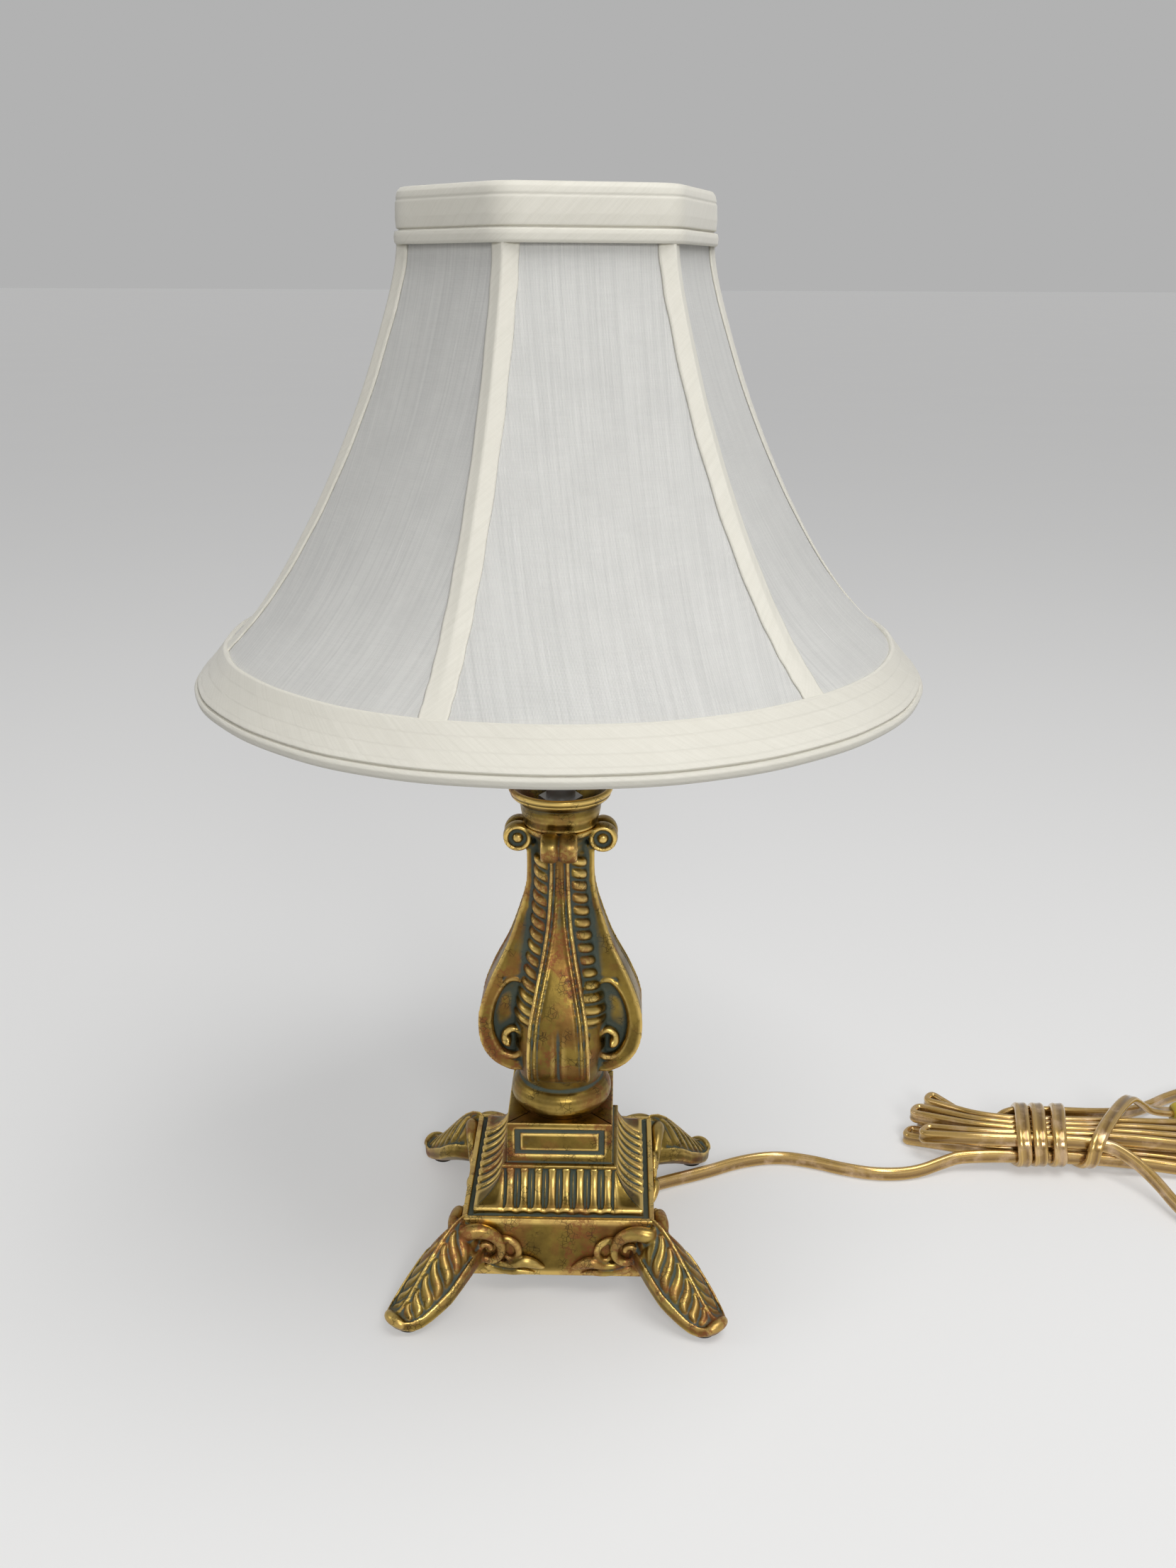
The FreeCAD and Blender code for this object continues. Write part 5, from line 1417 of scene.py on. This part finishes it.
@dataclass
class Cord:
    """The flat cord: out of the base, over the table, folded in a hank and wrapped."""

    width: float = 5.6
    thick: float = 2.8
    # How far the round of each lobe runs either way, in degrees.
    lobe_sweep: float = 118.0
    level: float = 2.95
    heading: float = math.radians(37.9)
    strands: int = 11
    columns: int = 6
    waist_pitch: float = 3.3
    end_pitch: float = 6.2
    waist: tuple[float, float, float] = (169.4, 212.0, 54.5)
    layer_low: float = 6.95
    layer_rise: float = 7.3
    end_drop: float = 4.0
    fold_hold: float = 5.5
    fan: float = math.radians(33)
    fan_reach: tuple[float, ...] = (23.0, 32.0, 31.0)
    right_end: float = 262.0
    right_middle: float = 55.7
    length: float = 2.2
    # The way out of the base: distance along the heading, and height.
    way_down: tuple[tuple[float, float], ...] = (
        (0.0, 43.0), (0.0, 28.5), (7.3, 16.0), (20.2, 9.2), (34.1, 5.2))
    # The free run over the table, from the foot of that way to the hank.
    free_run: tuple[tuple[float, float], ...] = (
        (54.5, 37.2), (69.2, 45.4), (83.8, 49.0), (97.2, 46.4), (110.2, 40.9), (123.4, 37.9),
        (137.5, 39.4))
    # The loose loop: down from the hank, round on the table, and up again.
    loop_down: tuple[Row, ...] = (
        (220.0, 40.2, 11.8), (227.0, 29.6, 8.4), (231.5, 16.5, 5.2), (238.0, 3.5, 3.4))
    loop_flat: tuple[tuple[float, float], ...] = (
        (249.0, -6.5), (264.0, -11.0), (280.0, -8.5), (294.0, 1.5), (303.5, 16.5), (309.0, 34.0),
        (311.5, 53.0), (309.0, 72.0), (301.5, 89.5), (288.0, 102.0), (271.5, 105.5),
        (256.0, 98.5))
    loop_up: tuple[Row, ...] = (
        (243.0, 88.0, 3.9), (229.5, 78.5, 7.0), (217.0, 71.9, 10.6), (206.0, 67.6, 13.4))
    # The wraps: where they start, their sides, their lowest and highest line, and their steps.
    wrap_start: tuple[float, float] = (176.0, 66.9)
    wrap_sides: tuple[float, float] = (42.2, 70.9)
    wrap_levels: tuple[float, float] = (1.95, 19.25)
    wrap_steps: tuple[float, ...] = (6.0, 6.3, 7.2)
    wrap_back: float = 3.0

    def free_points(self) -> list[Row]:
        """The way from the base to the hank."""
        points = [(s * math.cos(self.heading), s * math.sin(self.heading), z)
                  for s, z in self.way_down]
        points += [(38.4, 30.0, self.level + 0.4)]
        points += [(x, y, self.level) for x, y in self.free_run]
        return points + [(150.0, 44.6, 4.9), (158.0, 46.25, self.layer_low)]

    def column(self, number: int) -> int:
        """The column of a strand, counted across the hank and back."""
        return number if number <= self.columns else 2 * self.columns - number

    def strand(self, number: int) -> list[Row]:
        """The corners of one strand of the hank, from its left end to its right."""
        pair = number // 2
        folded = (self.column(2 * pair) + self.column(2 * pair + 1)) / 2
        out = self.fan_reach[int((folded - 0.5) / 2)]
        offset = self.column(number) - (self.columns + 1) / 2
        left_x, right_x, middle = self.waist
        side = middle + offset * self.waist_pitch
        corner = left_x + offset * self.waist_pitch * math.tan(self.fan / 2)
        high = self.layer_low + (self.layer_rise if number > self.columns else 0)
        left_high = self.layer_low - self.end_drop + (
            self.layer_rise if number >= self.columns else 0)
        left = (left_x - math.cos(self.fan) * out + math.sin(self.fan) * offset * self.end_pitch,
                middle + math.sin(self.fan) * out + math.cos(self.fan) * offset * self.end_pitch,
                left_high)
        stagger = 3.0 * ((number + 1) // 2 % 2)
        right = (self.right_end + stagger, self.right_middle + offset * self.end_pitch,
                 high - self.end_drop)
        run = [left, (corner, side, high), (right_x, side, high), right]
        return (run[:1] + [self.beside_fold(run[0], run[1])] + run[1:3]
                + [self.beside_fold(run[3], run[2])] + run[3:])

    def beside_fold(self, fold: Row, corner: Row) -> Row:
        """A point on a strand beside its fold, which keeps the fold round."""
        away = np.array(corner) - np.array(fold)
        return tuple(np.array(fold) + away * (self.fold_hold / np.linalg.norm(away)))

    def hank_points(self) -> list[Row]:
        """The strands of the hank, one after the other."""
        points = self.strand(1)[3:]
        for number in range(2, self.strands):
            run = self.strand(number)
            points += run if number % 2 else run[::-1]
        return points + self.strand(self.strands)[:3]

    def loop_points(self) -> list[Row]:
        """The loose loop beyond the hank."""
        top = self.layer_low + self.layer_rise
        flat = [(x, y, self.level) for x, y in self.loop_flat]
        return [(210.5, 45.9, top), *self.loop_down, *flat, *self.loop_up, (196.5, 66.9, top)]

    def wrap_points(self) -> tuple[list[Row], list[Row]]:
        """The wraps round the waist, and the tail over it to the plug."""
        (near, far), (low, high), back = self.wrap_sides, self.wrap_levels, self.wrap_back
        x, y = self.wrap_start
        points = [(x, y, self.layer_low + self.layer_rise), (x, y, low)]
        for step in self.wrap_steps:
            points += [(x + step, near, low), (x + step - back, near, high),
                       (x + 2 * step - back, far, high), (x + 2 * step - 2 * back, far, low)]
            x += 2 * (step - back)
        tail = [(206.5, 41.4, low), (207.5, 41.6, high), (228.0, 71.2, high),
                (235.0, 77.5, 14.0), (243.0, 81.5, 6.4), (252.0, 81.5, 6.4)]
        return points, tail

    def route(self) -> tuple[np.ndarray, np.ndarray]:
        """All the cord's points, and the direction of its width at each of them.

        Returns:
            The points, and the directions, which needn't be square to the cord.
        """
        upright, lean = (0.0, 0.0, 1.0), (-1.0, 0.0, 0.9)
        along_x, last = (-1.0, 0.0, 0.0), (-0.3, 1.0, 0.0)
        out = (math.cos(self.heading), math.sin(self.heading), 1.0)
        free, hank, loop = self.free_points(), self.hank_points(), self.loop_points()
        wraps, tail = self.wrap_points()
        points = free + hank + loop + wraps + tail
        down = len(self.way_down)
        faces = [out] * down + [upright] * (len(free) - down + len(hank) + len(loop))
        faces += [lean] + [along_x] * (len(wraps) - 1 + len(tail) - 3)
        faces += [(-0.8, 0.5, 0.2), last, last]
        return np.array(points), np.array(faces)

    def spline(self, points: np.ndarray) -> np.ndarray:
        """The smooth line of the route.

        Args:
            points: The route's points, in millimetres.

        Returns:
            Close points on its spline, in millimetres.
        """
        curve = bpy.data.curves.new("cord_line", "CURVE")
        curve.dimensions = "3D"
        curve.resolution_u = 10
        run = curve.splines.new("NURBS")
        run.points.add(len(points) - 1)
        for spot, point in zip(run.points, points):
            spot.co = (*(point * MM), 1.0)
        run.order_u = 3
        run.use_endpoint_u = True
        carrier = new_object("cord_line", curve)
        mesh = bpy.data.meshes.new_from_object(
            carrier.evaluated_get(bpy.context.evaluated_depsgraph_get()))
        places = np.empty(len(mesh.vertices) * 3)
        mesh.vertices.foreach_get("co", places)
        bpy.data.objects.remove(carrier)
        bpy.data.meshes.remove(mesh)
        return places.reshape(-1, 3) / MM

    def section(self) -> np.ndarray:
        """The cord's section: two round lobes with a valley on each side.

        Returns:
            Points along its width and its thickness.
        """
        lobe, reach = self.thick / 2, (self.width - self.thick) / 2
        points = []
        for side in (1, -1):
            for angle in np.linspace(-self.lobe_sweep, self.lobe_sweep, 10):
                turn = math.radians(angle)
                points.append((side * (reach + lobe * math.cos(turn)),
                               side * lobe * math.sin(turn)))
        return np.array(points)

    def build(self) -> bpy.types.Object:
        points, faces = self.route()
        line = self.spline(points)
        place_on = np.linspace(0, len(points) - 2, len(line)) + 0.5
        wide = np.stack([np.interp(place_on, np.arange(len(points)), faces[:, k])
                         for k in range(3)], -1)
        ahead = headings(line)
        wide -= (wide * ahead).sum(1)[:, None] * ahead
        wide /= np.linalg.norm(wide, axis=1)[:, None]
        thin = np.cross(ahead, wide)
        section = self.section()
        rows = (line[:, None, :] + section[None, :, :1] * wide[:, None, :]
                + section[None, :, 1:] * thin[:, None, :])
        along = travelled(line)
        form = Form()
        form.grid(rows, lids=True, marks=(
            np.arange(len(section) + 1) / len(section), np.append(along, along[-1])))
        made = finish_piece(form.build("flat_cord"), Finish.CORD, "lamp", "gold_cord",
                            "cord_free_run", "cord_hank", "cord_loose_loop", "cord_wraps")
        LOG.info("flat_cord is %.0f mm long", along[-1])
        return made


@dataclass
class Plug:
    """The moulded plug at the cord's end, with grip ridges and a tapered neck."""

    start: float = 252.0
    side: float = 81.5
    low: float = 0.15
    highest: float = 12.35
    squareness: float = 0.55
    # Distance along, half width, and top.
    stations: tuple[Row, ...] = (
        (0.0, 3.4, 8.6), (1.2, 3.9, 9.6), (5.0, 4.8, 10.6), (7.0, 5.4, 11.2), (9.0, 7.4, 11.8),
        (11.0, 8.9, 12.2), (13.2, 9.25, 12.35), (14.2, 8.8, 11.9), (15.2, 9.3, 12.35),
        (16.2, 8.85, 11.9), (17.2, 9.35, 12.35), (18.2, 8.9, 11.9), (19.2, 9.4, 12.35),
        (23.2, 9.4, 12.35), (24.0, 9.0, 12.0))

    def build(self) -> bpy.types.Object:
        """Makes the plug."""
        table = np.array(self.stations)
        turn = np.linspace(0, 2 * np.pi, 36, endpoint=False)
        across, up = (np.sign(wave) * np.abs(wave) ** self.squareness
                      for wave in (np.cos(turn), np.sin(turn)))
        rows = []
        for along, half, top in table:
            low = self.low + (self.highest - top) * 0.5
            middle, tall = (top + low) / 2, (top - low) / 2
            rows.append(np.stack([np.full(len(turn), self.start + along),
                                  self.side + across * half, middle + up * tall], -1))
        form = Form()
        form.grid(np.array(rows), lids=True)
        return finish_piece(form.build("moulded_plug"), Finish.PLUG, "lamp", "yellow_plug",
                            "plug_body")


# ---- Inner parts and studio ----------------------------------------------------------------


PLAIN_PARTS: dict[str, Finish] = {
    "foot_pads": Finish.FELT, "foot_screws": Finish.STEEL, "threaded_pipe": Finish.STEEL,
    "base_washer": Finish.STEEL, "lock_washer": Finish.STEEL, "base_nut": Finish.STEEL,
    "cup_washer": Finish.STEEL, "cup_nut": Finish.STEEL, "cord_bushing": Finish.BLACK,
    "socket_cap": Finish.SHEET_BRASS, "socket_shell": Finish.SHEET_BRASS,
    "socket_liner": Finish.CARD, "socket_body": Finish.BLACK, "screw_shell": Finish.ALUMINIUM,
    "centre_contact": Finish.SHEET_BRASS, "terminal_screws": Finish.SHEET_BRASS,
    "lead_wires": Finish.CORD, "switch_shaft": Finish.SHEET_BRASS, "switch_knob": Finish.BLACK,
    "bulb_glass": Finish.GLASS, "bulb_cap": Finish.ALUMINIUM, "bulb_contact": Finish.SHEET_BRASS,
    "shade_top_ring": Finish.WIRE, "shade_bottom_ring": Finish.WIRE, "shade_ribs": Finish.WIRE,
    "bulb_clip": Finish.CLIP_BRASS, "shade_spider": Finish.CLIP_BRASS,
    "clip_screw": Finish.CLIP_BRASS, "plug_blades": Finish.SHEET_BRASS}


def dress_plain_parts() -> None:
    """Gives the parts whose solids are shown as they are their finishes."""
    for name, finish in PLAIN_PARTS.items():
        dress(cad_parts[name], finish)
        LOG.info("%s in %s", name, finish.value.name)


@dataclass
class Studio:
    """A pale floor, soft lamps and the camera of the photograph, in metres."""

    camera_at: tuple[float, float, float] = (0.0193, -0.4522, 0.3354)
    heading: float = math.radians(1.303)
    pitch: float = math.radians(19.264)
    roll: float = math.radians(0.215)
    focal_pixels: float = 2047.8
    image_tall: float = 2212.0
    sensor: float = 36.0
    paper: RGB = (0.60, 0.597, 0.59)
    floor_reach: float = 40.0
    floor_glow: float = 0.30
    room: float = 0.25
    room_seen: float = 0.445
    # Each lamp's name, place, aim, size in metres and power in watts.
    lamps: tuple[tuple[str, Row, Row, float, float], ...] = (
        ("overhead_lamp", (0.35, -0.35, 1.30), (0, 0, 0.15), 0.8, 9.0),
        ("front_lamp", (0.30, -1.20, 0.75), (0, 0, 0.12), 0.35, 5.5),
        ("left_lamp", (-1.3, -0.2, 0.7), (0, 0, 0.15), 0.5, 1.5))

    def seen_rays(self, graph: Graph) -> bpy.types.NodeSocket:
        """1 for the rays that show the background: straight, mirrored or through glass."""
        rays = graph.node("LightPath").outputs
        plain = graph.math("MAXIMUM", rays["Is Camera Ray"], rays["Is Glossy Ray"])
        return graph.math("MAXIMUM", plain, rays["Is Transmission Ray"])

    def floor(self) -> None:
        """Lays the pale floor."""
        mesh = bpy.data.meshes.new("studio_floor")
        far = self.floor_reach
        mesh.from_pydata([(-far, -far, 0), (far, -far, 0), (far, far, 0), (-far, far, 0)], [],
                         [(0, 1, 2, 3)])
        made = new_object("studio_floor", mesh)
        material, graph, shader = new_material("studio_paper", Roughness=0.85,
                                               Emission_Color=(1.0, 1.0, 1.0, 1.0))
        low = tuple(c * 0.96 for c in self.paper)
        colour = graph.blend(graph.noise(graph.place(), 3.0, 3.0), low, self.paper)
        graph.join(shader, Base_Color=colour,
                   Emission_Strength=graph.times(self.seen_rays(graph), self.floor_glow))
        mesh.materials.append(material)

    def lamp(self, name: str, at: Row, toward: Row, size: float, watts: float) -> None:
        """Hangs one soft square lamp."""
        light = bpy.data.lights.new(name, "AREA")
        light.size = size
        light.energy = watts
        made = new_object(name, light)
        made.location = at
        made.rotation_euler = (Vector(toward) - Vector(at)).to_track_quat("-Z", "Y").to_euler()

    def world(self) -> None:
        """A grey room that the camera and reflections see as pale as the far floor."""
        world = bpy.data.worlds.new("studio_room")
        world.use_nodes = True
        graph = Graph(world.node_tree)
        back = world.node_tree.nodes["Background"]
        colour = graph.blend(self.seen_rays(graph), (self.room,) * 3, (self.room_seen,) * 3)
        graph.join(back, Color=colour)
        bpy.context.scene.world = world

    def camera(self) -> None:
        """Sets the camera."""
        turn, pitch, roll = self.heading, self.pitch, self.roll
        ahead = Vector((-math.sin(turn) * math.cos(pitch), math.cos(turn) * math.cos(pitch),
                        -math.sin(pitch)))
        right = Vector((math.cos(turn), math.sin(turn), 0.0))
        up = right.cross(ahead)
        right, up = (right * math.cos(roll) + up * math.sin(roll),
                     up * math.cos(roll) - right * math.sin(roll))
        lens = bpy.data.cameras.new("photo_camera")
        lens.lens = self.focal_pixels / self.image_tall * self.sensor
        lens.sensor_width = self.sensor
        lens.clip_start = 0.01
        made = new_object("photo_camera", lens)
        made.matrix_world = Matrix((
            (right.x, up.x, -ahead.x, self.camera_at[0]),
            (right.y, up.y, -ahead.y, self.camera_at[1]),
            (right.z, up.z, -ahead.z, self.camera_at[2]), (0, 0, 0, 1)))
        bpy.context.scene.camera = made

    def build(self) -> None:
        """Sets up the whole studio."""
        self.floor()
        self.world()
        for lamp in self.lamps:
            self.lamp(*lamp)
        self.camera()
        bpy.context.scene.view_settings.view_transform = "Standard"


FEET: tuple[tuple[str, str], ...] = (
    ("leaf_foot_front_right", "foot_front_right"), ("leaf_foot_rear_right", "foot_rear_right"),
    ("leaf_foot_rear_left", "foot_rear_left"), ("leaf_foot_front_left", "foot_front_left"))


def main() -> None:
    """Builds the lamp and the studio, and reports each piece."""
    Plinth().build()
    for quarter, (name, node) in enumerate(FEET):
        LeafFoot(name, node, quarter).build()
    Column().build()
    CandleCup().build()
    Shade().build()
    Plug().build()
    Cord().build()
    dress_plain_parts()
    Studio().build()


if __name__ == "__main__":
    main()
